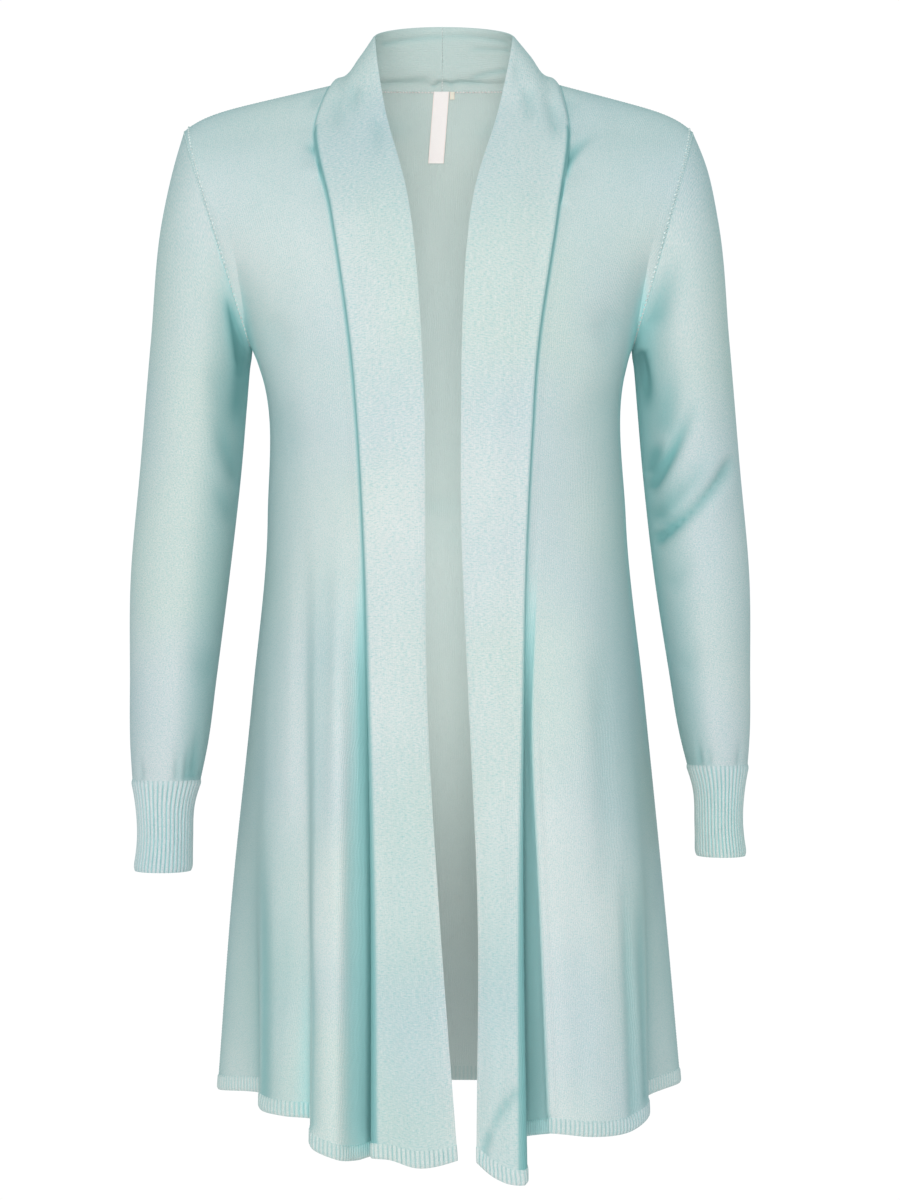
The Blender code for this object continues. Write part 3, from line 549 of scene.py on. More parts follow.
def neck_curve(side_point, back_point, count):
    """A quarter round the neck from the shoulder to the middle of the back."""
    turn = (math.pi / 2 * np.arange(count + 1) / count)[:, None]
    side_point, back_point = np.array(side_point), np.array(back_point)
    across, back = np.cos(turn), np.sin(turn)
    return np.hstack(
        [
            side_point[0] * across,
            side_point[1] + (back_point[1] - side_point[1]) * back,
            side_point[2] + (back_point[2] - side_point[2]) * back,
        ]
    )


def with_rib_top(levels):
    """Adds the top of the hem rib to a line whose first two points are at the hem and the thigh."""
    hem, thigh = np.array(levels[0]), np.array(levels[1])
    rib_top = hem + (thigh - hem) * HEM_RIB_HEIGHT / (thigh[2] - hem[2])
    return [hem, rib_top, *levels[1:]]


def rise(levels, end=None):
    """One line of the garment from the hem to the shoulder, a point to each row."""
    return smooth_curve(with_rib_top(levels), ROWS_BETWEEN, end=end)


def side_line(side_name, front):
    """The side seam up to the armpit, then the front or back of the armhole."""
    line = FRONT_FOLDS[side_name][-1]
    levels = [
        line.hem,
        (*line.thigh, SKIRT_HEIGHT["thigh"]),
        (*line.hip, SKIRT_HEIGHT["hip"]),
        ring_point("waist", side_name, 0, True),
        ring_point("bust", side_name, 0, True),
        armhole(side_name, True)[0],
    ]
    below = smooth_curve(with_rib_top(levels), ROWS_BETWEEN[:ARMPIT], end=np.array(UNDERARM_TURN))
    return np.vstack([below, armhole(side_name, front)[1:]])


def upper_levels(side_name, share, start, front):
    """Points of one line at the waist and above, a share of the way from a starting line to the side line."""
    side = side_line(side_name, front)
    found = []
    for level in SECTIONS:
        first, last = start[level], side[LEVEL_ROWS[level]]
        first_angle = ring_angle(level, side_name, first[0])
        last_angle = 0.0 if LEVELS.index(level) <= ARMPIT else ring_angle(level, side_name, last[0])
        point = ring_point(level, side_name, first_angle + (last_angle - first_angle) * share, front)
        off_first = first - ring_point(level, side_name, first_angle, front)
        off_last = last - ring_point(level, side_name, last_angle, front)
        found.append(point + off_first * (1 - share) + off_last * share)
    return found


armhole_front = np.linalg.norm(np.diff(armhole("left", True), axis=0), axis=1).sum()
print("the armhole is", round(2000 * float(armhole_front)), "mm round")

# %% [markdown]
# ## Panels as grids
#
# The band is worked out first, because its seam is where each front starts. A front then runs out over its
# folds to the side seam and the armhole. The back is made as two halves that share the middle line.

# %% The band
def band_lines(side_name):
    """The free edge, fold and seam of the band, row by row: up the front, then round the neck to the back."""
    ends = {
        "free": (COLLAR_SIDE[side_name], COLLAR_TURN, COLLAR_BACK),
        "seam": (NECK_SIDE[side_name], BACKWARD, NECK_BACK),
    }
    lines = {}
    for name, (side_point, direction, back_point) in ends.items():
        levels = [getattr(row, name) for row in BAND[side_name].values()]
        front = rise([*levels, side_point], end=np.array(direction))
        lines[name] = np.vstack([front, neck_curve(side_point, back_point, NECK_ROWS)[1:]])
    collar = lines["seam"] + COLLAR_FOLD_SHARE * (lines["free"] - lines["seam"])
    top = LEVEL_ROWS["shoulder"]
    levels = [row.fold for row in BAND[side_name].values()]
    front = rise([*levels, collar[top]], end=np.array(BACKWARD))
    lines["fold"] = np.vstack([front, collar[top + 1 :]])
    return lines


def band_grid(side_name):
    """Columns from the free edge over the fold to the seam."""
    lines = band_lines(side_name)
    free, fold, seam = lines["free"], lines["fold"], lines["seam"]
    on_collar = np.ones(NECK_ROWS)
    down = 1 - np.concatenate([level_share("hem", "thigh"), on_collar])
    forward = 1 - np.concatenate([level_share("chest", "shoulder"), on_collar])
    turned = 1 - np.concatenate([level_share("chest", "upper"), on_collar])
    middle = (free + fold) / 2
    middle[:, 1] -= BAND_CROWN * forward
    middle[:, 2] -= BAND_MID_DROP[side_name] * down
    hollow = COLLAR_HOLLOW[side_name] * (1 - forward)
    middle[:, :2] -= unit(middle[:, :2] - np.array(NECK_CENTRE)) * hollow[:, None]
    share = BAND_ROLL / np.linalg.norm(middle - fold, axis=1, keepdims=True)
    roll = fold + (middle - fold) * np.hstack([share, share, share**2])
    grid = []
    for r in range(len(free)):
        end = blend_direction(OUT, seam[r] - fold[r], turned[r])
        grid.append(smooth_curve([free[r], middle[r], roll[r], fold[r], seam[r]], BAND_STEPS, end=end))
    return np.array(grid)


print("band grid:", band_grid("left").shape[:2])

# %% Fronts and back
def panel_grid(across, top, directions, side):
    """Raises every column of a panel through its levels to the top seam, and ends it at the side line."""
    columns = across.shape[1]
    lines = [rise([*across[:, c], top[c]], end=np.array(directions[c])) for c in range(columns)]
    grid = np.stack(lines, axis=1)
    off = side - grid[:, -1]
    for c in range(1, SIDE_EASE + 1):
        grid[:, -c] += off * (1 - (c - 1) / SIDE_EASE)
    return grid


def across_levels(lines, steps, first, last):
    """Fills in the columns between guide lines, level by level, with the directions at the first and last."""
    across = []
    for k, level in enumerate(GUIDE_LEVELS):
        points = lines[:, k]
        begin = blend_direction(first, points[1] - points[0], TURN[level].first)
        finish = blend_direction(last, points[-1] - points[-2], TURN[level].last)
        across.append(smooth_curve(points, steps, start=begin, end=finish))
    return np.array(across)


def guide_lines(folds, side_name, start, front):
    """Each fold line's points at the guide levels."""
    lines = []
    for fold in folds:
        low = [fold.hem, (*fold.thigh, SKIRT_HEIGHT["thigh"]), (*fold.hip, SKIRT_HEIGHT["hip"])]
        lines.append(low + upper_levels(side_name, fold.share, start, front))
    return lines


def front_grid(side_name):
    """Columns from the band seam out to the side seam and armhole."""
    folds = FRONT_FOLDS[side_name]
    seam = band_lines(side_name)["seam"]
    start = {level: seam[row] for level, row in LEVEL_ROWS.items()}
    side = side_line(side_name, True)
    lines = [[start[level] for level in GUIDE_LEVELS]]
    lines += guide_lines(folds[:-1], side_name, start, True)
    lines.append([side[LEVEL_ROWS[level]] for level in GUIDE_LEVELS])
    steps = [FINE_ACROSS * fold.steps for fold in folds]
    across = across_levels(np.array(lines), steps, OUT, BACKWARD)
    top = shoulder_seam(side_name, spread([0.0] + [fold.share for fold in folds], steps))
    return panel_grid(across, top, [BACKWARD] * len(top), side)


def back_half(side_name):
    """Columns from the middle of the back out to the side seam and armhole."""
    side = side_line(side_name, False)
    middle = {level: ring_point(level, side_name, math.pi / 2, False) for level in SECTIONS}
    lines = guide_lines(BACK_FOLDS, side_name, middle, False)
    lines.append([side[LEVEL_ROWS[level]] for level in GUIDE_LEVELS])
    steps = [FINE_ACROSS * fold.steps for fold in BACK_FOLDS]
    across = across_levels(np.array(lines), steps, OUT, FORWARD)
    shoulders = [fold.shoulder for fold in BACK_FOLDS[1:]] + [1.0]
    neck = neck_curve(NECK_SIDE[side_name], NECK_BACK, NECK_ROWS)
    top = np.vstack([neck[:0:-1], shoulder_seam(side_name, spread(shoulders, steps[1:]))])
    upright = np.clip(1 - np.arange(len(top)) / NECK_ROWS, 0, 1)
    directions = [blend_direction(NECK_BACK_TURN, np.array(FORWARD), share) for share in upright]
    return panel_grid(across, top, directions, side)


print("front grid:", front_grid("right").shape[:2], "half back grid:", back_half("right").shape[:2])

# %% Sleeves
def mirrored(grid, side_name):
    """Points or normals of one side, from its own outward x to the shared X."""
    return grid * np.array([SIDES[side_name], 1.0, 1.0])


def sleeve_stations(table, side_name, fineness):
    """Sections of a sleeve or cuff from a table, with the rows between filled in."""
    steps = [fineness * row.steps for row in table[1:]]
    return smooth_curve([sleeve_row(row, side_name) for row in table], steps)


def sleeve_grid(side_name):
    """Rows down the arm and columns round it, closed."""
    angles = 2 * math.pi * np.arange(SLEEVE_SIDES) / SLEEVE_SIDES
    return np.array([sleeve_ring(station, angles) for station in sleeve_stations(SLEEVE, side_name, FINE_UP)])


def sleeve_normals(grid):
    """Outward normals of a sleeve. At the armhole they lie in the plane of its seam."""
    wrapped = np.concatenate([grid[:, -1:], grid, grid[:, :1]], axis=1)
    normals = grid_normals(wrapped, -1.0)[:, 1:-1]
    normals[0] = unit(grid[0] - grid[0].mean(axis=0))
    return normals


print("sleeve grid:", sleeve_grid("left").shape[:2])

# %% Normals that meet at the seams
def shared(first, second):
    """The common normal of two panels at their seam, so that their end faces are parallel."""
    return unit(first + second)


def side_panels(side_name):
    """The grids of one side's front, band and half back, and their normals, shared where they meet."""
    front, band, back = front_grid(side_name), band_grid(side_name), back_half(side_name)
    front_out, band_out = grid_normals(front, 1.0), grid_normals(band, 1.0)
    back_out = grid_normals(back, -1.0)
    top = LEVEL_ROWS["shoulder"]
    front_out[:, 0] = band_out[: top + 1, -1] = shared(front_out[:, 0], band_out[: top + 1, -1])
    front_out[:, -1] = back_out[:, -1] = shared(front_out[:, -1], back_out[:, -1])
    seam = shoulder_seam(side_name, [0.0, 1.0])
    along = unit(seam[1] - seam[0])
    over = unit(np.array([0.0, 0.0, 1.0]) - along * along[2])
    front_out[-1, 1:-1] = over
    back_out[-1, NECK_ROWS + 1 : -1] = over
    neck = shared(back_out[-1, NECK_ROWS::-1], band_out[top:, -1])
    neck[0] = shared(over, band_out[top, -1])
    front_out[-1, 0] = neck[0]
    band_out[top:, -1] = neck
    back_out[-1, NECK_ROWS::-1] = neck
    loop = sleeve_normals(sleeve_grid(side_name))[0]
    front_out[-ARMHOLE_ROWS - 1 :, -1] = loop[: ARMHOLE_ROWS + 1]
    back_out[-ARMHOLE_ROWS - 1 :, -1] = np.roll(loop[::-1], 1, axis=0)[: ARMHOLE_ROWS + 1]
    for middle in (band_out[-1], back_out[:, 0]):
        middle[:, 0] = 0.0
        middle[:] = unit(middle)
    return (front, front_out), (band, band_out), (back, back_out)


def joined_back(halves):
    """The two half backs as one grid, from the wearer's right side seam to the left one."""
    return np.concatenate([mirrored(halves["right"][:, :0:-1], "right"), halves["left"]], axis=1)


panels = {}
halves, halves_out = {}, {}
for side_name in SIDES:
    front, band, back = side_panels(side_name)
    panels["front_" + side_name] = [mirrored(values, side_name) for values in front]
    panels["band_" + side_name] = [mirrored(values, side_name) for values in band]
    halves[side_name], halves_out[side_name] = back
    sleeve = sleeve_grid(side_name)
    sleeve_out = sleeve_normals(sleeve)
    panels["sleeve_" + side_name] = [mirrored(values, side_name) for values in (sleeve, sleeve_out)]
panels["back"] = [joined_back(halves), joined_back(halves_out)]
print("points in all:", sum(grid.shape[0] * grid.shape[1] for grid, normals in panels.values()))

# %% [markdown]
# ## Creases
#
# The large folds are in the panels already. What is left are the small marks that cloth keeps from hanging
# on a body: drags from the armpit, a tuck where the band turns, soft rolls inside the collar. A cloth
# simulation gives creases somewhere, but not where these are. So each one is placed as a soft
# trough, or a ridge where its depth is negative, between two points of the front view. Its middle can bow
# sideways, and it fades in and out over a share of its length.
# Each crease can also darken the colour along it by its shade, as painted shade.

# %% How a crease is pressed in
Crease = namedtuple("Crease", "x0 z0 x1 z1 bow width depth shade fade_in fade_out")


def ease(share):
    share = np.clip(share, 0, 1)
    return share * share * (3 - 2 * share)


def crease_weight(x, z, crease):
    """The part that a crease has at each point of the front view, 1 along its middle."""
    run, climb = crease.x1 - crease.x0, crease.z1 - crease.z0
    length = math.hypot(run, climb)
    along = ((x - crease.x0) * run + (z - crease.z0) * climb) / length**2
    aside = ((z - crease.z0) * run - (x - crease.x0) * climb) / length
    aside = aside - crease.bow * 4 * along * (1 - along)
    ends = ease(along / crease.fade_in) * ease((1 - along) / crease.fade_out)
    return ends * np.exp(-((aside / crease.width) ** 2))


FACING_GAIN = 2.5


def press(name, creases, facing, keep):
    """Presses creases into a panel where it faces the front at -1 or the back at 1, clear of its edges, and
    adds each crease's painted shade to the panel's shade.
    """
    grid, normals = panels[name]
    weight = keep * ease(normals[..., 1] * facing * FACING_GAIN)
    hollow = painted_shades.setdefault(name, np.zeros(grid.shape[:2]))
    moved = np.zeros(grid.shape[:2])
    for crease in creases:
        found = weight * crease_weight(grid[..., 0], grid[..., 2], crease)
        moved += crease.depth * found
        hollow += crease.shade * found
    panels[name][0] = grid - normals * moved[..., None]


def clear_of_edges(name, rows=(0, 0), columns=(0, 0)):
    """A weight over a panel that falls to 0 over some rows or columns at its edges, first and last."""
    weight = np.ones(panels[name][0].shape[:2])
    for axis, (first, last) in enumerate((rows, columns)):
        count = weight.shape[axis]
        steps = np.arange(count)
        line = np.ones(count)
        if first:
            line = line * ease(steps / first)
        if last:
            line = line * ease((count - 1 - steps) / last)
        weight = weight * (line[:, None] if axis == 0 else line[None, :])
    return weight


# Painted shade of each panel, a number to each point: how far its colour is darkened towards teal.
painted_shades = {}
sample_crease = Crease(0, 0, 0.1, 0, 0, 0.01, 0.002, 1, 0.2, 0.2)
print("in its middle a crease weighs", float(crease_weight(0.05, 0, sample_crease)))

# %% Where the creases lie
FRONT_CREASES = {
    "front_left": (
        Crease(0.0935, -0.0660, 0.1270, -0.0290, 0.006, 0.0045, 0.0045, 0.85, 0.02, 0.75),
        Crease(0.0950, -0.0900, 0.1150, -0.0640, 0.002, 0.0070, -0.0022, 0.00, 0.05, 0.70),
        Crease(0.0960, -0.0150, 0.1080, 0.0020, 0.002, 0.0080, 0.0010, 0.20, 0.10, 0.50),
        Crease(0.1180, -0.2050, 0.1460, -0.1700, 0.004, 0.0110, 0.0020, 0.08, 0.50, 0.30),
        Crease(0.1060, -0.2850, 0.1400, -0.2250, 0.006, 0.0150, 0.0016, 0.06, 0.50, 0.35),
        Crease(0.0678, -0.4250, 0.0850, -0.8000, 0.000, 0.0040, -0.0024, 0.00, 0.30, 0.02),
        Crease(0.1180, -0.4200, 0.1290, -0.6600, 0.002, 0.0090, 0.0014, 0.12, 0.30, 0.40),
        Crease(0.1400, -0.5900, 0.1490, -0.8050, 0.001, 0.0050, 0.0022, 0.40, 0.45, 0.04),
        Crease(0.1530, -0.6000, 0.1610, -0.7950, 0.001, 0.0070, 0.0020, 0.35, 0.45, 0.04),
        Crease(0.1450, -0.6300, 0.1560, -0.7980, 0.001, 0.0040, -0.0012, 0.00, 0.45, 0.04),
        Crease(0.1000, -0.6000, 0.1080, -0.8000, 0.003, 0.0120, 0.0010, 0.06, 0.50, 0.10),
    ),
    "front_right": (
        Crease(-0.0900, -0.0520, -0.1120, -0.0400, -0.002, 0.0042, 0.0042, 0.85, 0.02, 0.80),
        Crease(-0.0940, -0.0640, -0.1160, -0.0580, 0.002, 0.0070, -0.0020, 0.00, 0.05, 0.70),
        Crease(-0.0960, -0.0020, -0.1060, 0.0040, 0.001, 0.0070, 0.0010, 0.22, 0.10, 0.60),
        Crease(-0.1420, -0.1750, -0.1180, -0.2150, 0.004, 0.0110, 0.0018, 0.08, 0.30, 0.50),
        Crease(-0.1400, -0.2400, -0.1100, -0.3000, 0.005, 0.0150, 0.0014, 0.06, 0.35, 0.50),
        Crease(-0.0880, -0.3200, -0.0990, -0.6600, 0.002, 0.0080, 0.0020, 0.16, 0.30, 0.40),
        Crease(-0.0800, -0.3800, -0.0810, -0.7400, 0.002, 0.0070, -0.0014, 0.00, 0.30, 0.30),
        Crease(-0.1180, -0.5200, -0.1260, -0.7600, 0.003, 0.0110, 0.0018, 0.12, 0.40, 0.30),
        Crease(-0.1420, -0.5700, -0.1400, -0.7950, 0.001, 0.0060, 0.0018, 0.30, 0.40, 0.05),
        Crease(-0.1030, -0.6400, -0.1000, -0.8100, 0.001, 0.0060, 0.0016, 0.30, 0.50, 0.05),
        # Wide and shallow: mostly painted shade on the side of this front.
        Crease(-0.1260, -0.5400, -0.1380, -0.8400, 0.002, 0.0240, 0.0008, 0.24, 0.60, 0.02),
    ),
    "band_left": (
        Crease(0.0660, 0.0120, 0.0715, -0.0300, 0.001, 0.0050, 0.0026, 0.26, 0.30, 0.60),
        Crease(0.0760, 0.0060, 0.0720, -0.0340, 0.002, 0.0060, -0.0016, 0.00, 0.35, 0.50),
        Crease(0.0850, 0.0000, 0.0890, -0.0420, 0.002, 0.0050, 0.0022, 0.22, 0.30, 0.50),
        Crease(0.0590, 0.0300, 0.0610, 0.0020, 0.000, 0.0040, 0.0014, 0.16, 0.20, 0.60),
        Crease(0.0582, -0.7760, 0.0380, -0.8040, -0.002, 0.0034, 0.0028, 0.42, 0.10, 0.30),
        Crease(0.0400, -0.8000, 0.0300, -0.8280, -0.001, 0.0034, 0.0024, 0.40, 0.30, 0.10),
        Crease(0.0480, -0.7800, 0.0400, -0.8200, 0.001, 0.0050, -0.0016, 0.00, 0.30, 0.10),
        Crease(0.0420, -0.7300, 0.0400, -0.7900, 0.002, 0.0080, -0.0012, 0.00, 0.40, 0.30),
        # No depth: only painted shade on the lower band.
        Crease(0.0420, -0.4500, 0.0430, -0.8600, 0.000, 0.0500, 0.0000, 0.24, 0.60, 0.01),
    ),
    "band_right": (
        Crease(-0.0700, 0.0140, -0.0725, -0.0200, 0.001, 0.0050, 0.0024, 0.24, 0.30, 0.60),
        Crease(-0.0520, -0.0120, -0.0525, -0.0580, 0.002, 0.0060, 0.0024, 0.20, 0.30, 0.60),
        Crease(-0.0610, 0.0060, -0.0600, -0.0400, 0.001, 0.0060, -0.0014, 0.00, 0.30, 0.50),
        Crease(-0.0820, 0.0050, -0.0810, -0.0350, -0.002, 0.0050, 0.0016, 0.18, 0.30, 0.50),
        Crease(-0.0350, -0.5200, -0.0330, -0.6600, 0.002, 0.0090, 0.0010, 0.05, 0.40, 0.40),
        # No depth: only painted shade on the lower band.
        Crease(-0.0250, -0.4500, -0.0310, -0.8600, 0.000, 0.0500, 0.0000, 0.24, 0.60, 0.01),
    ),
    "sleeve_left": (
        Crease(0.1660, -0.3540, 0.2350, -0.2810, -0.006, 0.0048, 0.0046, 0.70, 0.06, 0.20),
        Crease(0.1700, -0.3330, 0.2200, -0.2800, -0.006, 0.0080, -0.0030, 0.00, 0.15, 0.40),
        Crease(0.1650, -0.3380, 0.2150, -0.2760, -0.005, 0.0090, 0.0022, 0.40, 0.10, 0.50),
        Crease(0.1620, -0.3140, 0.2040, -0.2330, -0.003, 0.0052, 0.0040, 0.70, 0.08, 0.60),
        Crease(0.1600, -0.3000, 0.1720, -0.2700, -0.001, 0.0060, 0.0030, 0.50, 0.15, 0.50),
        Crease(0.1720, -0.2800, 0.1850, -0.2000, -0.001, 0.0120, 0.0018, 0.36, 0.30, 0.60),
        Crease(0.1530, -0.2000, 0.1620, -0.2560, 0.001, 0.0060, 0.0050, 0.85, 0.10, 0.60),
        Crease(0.1600, -0.1900, 0.1890, -0.1150, -0.002, 0.0130, 0.0030, 0.34, 0.25, 0.55),
        Crease(0.1730, -0.3900, 0.2050, -0.3560, -0.003, 0.0080, 0.0016, 0.10, 0.20, 0.55),
        Crease(0.1840, -0.4550, 0.2120, -0.4300, -0.002, 0.0100, 0.0014, 0.06, 0.20, 0.60),
        Crease(0.2030, -0.5300, 0.2010, -0.5050, 0.000, 0.0022, 0.0012, 0.22, 0.05, 0.80),
        Crease(0.2100, -0.5300, 0.2090, -0.5100, 0.000, 0.0020, 0.0010, 0.18, 0.05, 0.80),
        Crease(0.2330, -0.5300, 0.2350, -0.5060, 0.000, 0.0024, 0.0012, 0.18, 0.05, 0.80),
    ),
    "sleeve_right": (
        Crease(-0.1660, -0.1520, -0.1540, -0.2250, 0.001, 0.0065, 0.0050, 0.80, 0.30, 0.25),
        Crease(-0.1560, -0.2100, -0.1600, -0.2700, 0.000, 0.0070, 0.0020, 0.45, 0.20, 0.50),
        Crease(-0.1790, -0.2000, -0.1660, -0.2900, 0.002, 0.0120, 0.0020, 0.14, 0.35, 0.45),
        Crease(-0.1560, -0.3100, -0.1760, -0.2500, 0.003, 0.0080, 0.0024, 0.26, 0.20, 0.55),
        Crease(-0.1590, -0.3400, -0.1790, -0.3000, 0.003, 0.0080, 0.0018, 0.18, 0.20, 0.60),
        Crease(-0.1740, -0.4600, -0.2000, -0.4300, 0.002, 0.0120, 0.0016, 0.08, 0.20, 0.60),
        Crease(-0.1960, -0.5420, -0.1910, -0.4900, 0.000, 0.0034, 0.0018, 0.30, 0.05, 0.80),
        Crease(-0.2010, -0.5420, -0.1980, -0.5050, 0.000, 0.0026, 0.0014, 0.24, 0.05, 0.80),
        Crease(-0.2080, -0.5420, -0.2070, -0.5100, 0.000, 0.0026, 0.0014, 0.20, 0.05, 0.80),
        Crease(-0.2360, -0.5420, -0.2380, -0.5180, 0.000, 0.0026, 0.0012, 0.16, 0.05, 0.80),
    ),
}
BACK_CREASES = (
    Crease(-0.1460, -0.1900, -0.0900, -0.2400, 0.005, 0.0120, 0.0034, 0.30, 0.20, 0.60),
    Crease(0.1440, -0.1850, 0.0960, -0.2300, -0.004, 0.0120, 0.0030, 0.26, 0.20, 0.60),
    Crease(-0.1420, -0.2300, -0.0700, -0.2900, 0.006, 0.0150, 0.0028, 0.20, 0.25, 0.60),
    Crease(0.1430, -0.2400, 0.0620, -0.3050, -0.007, 0.0150, 0.0030, 0.22, 0.25, 0.60),
    Crease(-0.0700, -0.3150, 0.0500, -0.3230, -0.006, 0.0100, 0.0024, 0.16, 0.50, 0.50),
    Crease(-0.0300, -0.3500, 0.0900, -0.3420, -0.005, 0.0110, 0.0020, 0.14, 0.50, 0.50),
    Crease(-0.0600, -0.0080, -0.0200, -0.0180, -0.003, 0.0070, 0.0018, 0.16, 0.30, 0.50),
    Crease(0.0640, -0.0100, 0.0180, -0.0200, 0.003, 0.0070, 0.0018, 0.14, 0.30, 0.50),
    Crease(-0.1150, -0.5600, -0.1200, -0.7500, 0.004, 0.0120, 0.0024, 0.18, 0.50, 0.20),
    Crease(0.0900, -0.5200, 0.0950, -0.7700, 0.003, 0.0110, 0.0022, 0.16, 0.50, 0.20),
)
SLEEVE_BACK_CREASES = (
    Crease(0.1620, -0.3300, 0.2250, -0.2900, -0.005, 0.0070, 0.0040, 0.35, 0.15, 0.50),
    Crease(0.1640, -0.3650, 0.2300, -0.3450, -0.004, 0.0070, 0.0034, 0.30, 0.15, 0.50),
    Crease(0.1560, -0.2150, 0.1800, -0.1500, -0.003, 0.0110, 0.0036, 0.40, 0.20, 0.50),
    Crease(0.1760, -0.4300, 0.2150, -0.4050, -0.003, 0.0100, 0.0022, 0.15, 0.20, 0.60),
)


def reflected(creases):
    """The same creases on the wearer's right."""
    return [c._replace(x0=-c.x0, x1=-c.x1, bow=-c.bow) for c in creases]


for side_name in SIDES:
    sleeve, front, band = "sleeve_" + side_name, "front_" + side_name, "band_" + side_name
    keep = clear_of_edges(sleeve, rows=(FINE_UP, 1))
    press(sleeve, FRONT_CREASES[sleeve], -1.0, keep)
    press(sleeve, SLEEVE_BACK_CREASES if side_name == "left" else reflected(SLEEVE_BACK_CREASES), 1.0, keep)
    press(front, FRONT_CREASES[front], -1.0, clear_of_edges(front, rows=(0, FINE_UP), columns=(2, 6)))
    press(band, FRONT_CREASES[band], -1.0, clear_of_edges(band, columns=(3, 2)))
press("back", BACK_CREASES, 1.0, clear_of_edges("back", rows=(0, FINE_UP), columns=(6, 6)))
print("creases:", sum(map(len, FRONT_CREASES.values())) + len(BACK_CREASES) + 2 * len(SLEEVE_BACK_CREASES))

# %% Creases inside the collar
COLLAR_CREASES = (
    Crease(-0.0520, 0.0490, 0.0020, 0.0585, 0.0020, 0.0018, 0.0014, 0.45, 0.10, 0.05),
    Crease(0.0000, 0.0590, 0.0560, 0.0500, 0.0030, 0.0018, 0.0012, 0.35, 0.05, 0.10),
    Crease(0.0180, 0.0480, 0.0560, 0.0450, 0.0010, 0.0016, 0.0012, 0.35, 0.30, 0.05),
    Crease(0.0220, 0.0250, 0.0540, 0.0300, 0.0015, 0.0018, 0.0016, 0.50, 0.20, 0.05),
    Crease(-0.0540, 0.0200, -0.0080, 0.0250, 0.0010, 0.0022, 0.0012, 0.30, 0.20, 0.15),
    Crease(0.0040, 0.0235, 0.0460, 0.0205, 0.0010, 0.0018, 0.0014, 0.50, 0.10, 0.50),
    Crease(-0.0100, 0.0180, -0.0005, 0.0255, 0.0000, 0.0014, 0.0014, 0.50, 0.20, 0.10),
    Crease(0.0000, 0.0255, 0.0110, 0.0190, 0.0000, 0.0014, 0.0014, 0.50, 0.10, 0.20),
    Crease(-0.0090, 0.0215, 0.0000, 0.0285, 0.0000, 0.0018, -0.0014, 0.00, 0.20, 0.20),
    Crease(0.0000, 0.0285, 0.0110, 0.0225, 0.0000, 0.0018, -0.0014, 0.00, 0.20, 0.20),
)
COLLAR_BEHIND = 0.012


def crease_collar(name):
    """Presses the collar's creases in from within, only where the band stands behind the neck, and adds their
    painted shade.
    """
    grid, normals = panels[name]
    behind = ease((grid[..., 1] - COLLAR_BEHIND) / COLLAR_BEHIND) * clear_of_edges(name, columns=(0, 2))
    for crease in COLLAR_CREASES:
        found = behind * crease_weight(grid[..., 0], grid[..., 2], crease)
        panels[name][0] = panels[name][0] + normals * (crease.depth * found)[..., None]
        painted_shades[name] += crease.shade * found


# Painted shade, laid into each panel's "hollow" mark: along the armholes, on the sleeves' sides that face the
# body, on the fronts' sides that turn away from the lamps, in the groove beside the band and along the band's
# fold.
ARMHOLE_SHADE = 0.5
INNER_TURN = 0.1
SIDE_TURN = 0.6
FOLD_SHADE = 0.85
SEAM_SHADE = (0.80, 0.50, 0.20)
GROOVE_SHADE = (0.10, 0.35, 0.60, 0.65, 0.40, 0.20)
INNER_SLEEVE_SHADE = 0.55
SIDE_SHADE = 0.30


def facing_across(name, toward, least):
    """How far each point faces aside, from 0 where it has turned by the least to 1."""
    return ease((panels[name][1][..., 0] * toward - least) / (1 - least))


fold_column = sum(BAND_STEPS[:3])
past_fold = ease((np.arange(sum(BAND_STEPS) + 1) - fold_column + FINE_ACROSS / 3) / (FINE_ACROSS / 2))


# Painted shade laid in panel by panel, with the collar's creases.
for side_name, toward in (("left", 1.0), ("right", -1.0)):
    crease_collar("band_" + side_name)
    start = LEVEL_ROWS["armpit"]
    turned_in = facing_across("sleeve_" + side_name, -toward, INNER_TURN)
    turned_aside = facing_across("front_" + side_name, toward, SIDE_TURN)
    painted_shades["sleeve_" + side_name] += INNER_SLEEVE_SHADE * turned_in
    painted_shades["front_" + side_name] += SIDE_SHADE * turned_aside
    low = 1 - level_share("thigh", "waist")
    for column, shade in enumerate(GROOVE_SHADE):
        painted_shades["front_" + side_name][:, column] += shade * low
    for column, shade in enumerate(SEAM_SHADE):
        painted_shades["front_" + side_name][:, column] += shade
    painted_shades["band_" + side_name][:LEVEL_ROWS["upper"]] += FOLD_SHADE * past_fold
    painted_shades["front_" + side_name][start:, -1] += ARMHOLE_SHADE
    painted_shades["front_" + side_name][start:, -2] += 0.3 * ARMHOLE_SHADE
    painted_shades["sleeve_" + side_name][0] += ARMHOLE_SHADE
print("collar creases:", len(COLLAR_CREASES))

# %% [markdown]
# ## From a grid to a wall of cloth
#
# Cloth has thickness, and at this scale it shows at every free edge. The outer grid is copied inwards by the
# thickness, and thin rims join the two. A Solidify modifier would do the same, but the walls have to end in
# parallel faces at the seams, so the normals shared above are used instead. Free edges are thinned a
# little, which rounds them off as a knitted edge is.
#
# Each point also carries its place on the flat cloth, in metres, as a UV map named "knit": the first number
# counts across the stitches and the second along them. The stitches are drawn with it later.

# %% Mesh from grids
def grid_faces(rows, columns, first=0, closed=False):
    """Corner numbers of a grid's quads."""
    row = np.arange(rows - 1)[:, None]
    column = np.arange(columns if closed else columns - 1)[None, :]
    a = first + row * columns + column
    b = first + row * columns + (column + 1) % columns
    return np.stack([a, b, b + columns, a + columns], axis=-1).reshape(-1, 4)


def edge_faces(outer_edge, inner_edge):
    """Quads between two lines of points."""
    return np.stack([outer_edge[:-1], inner_edge[:-1], inner_edge[1:], outer_edge[1:]], axis=-1)


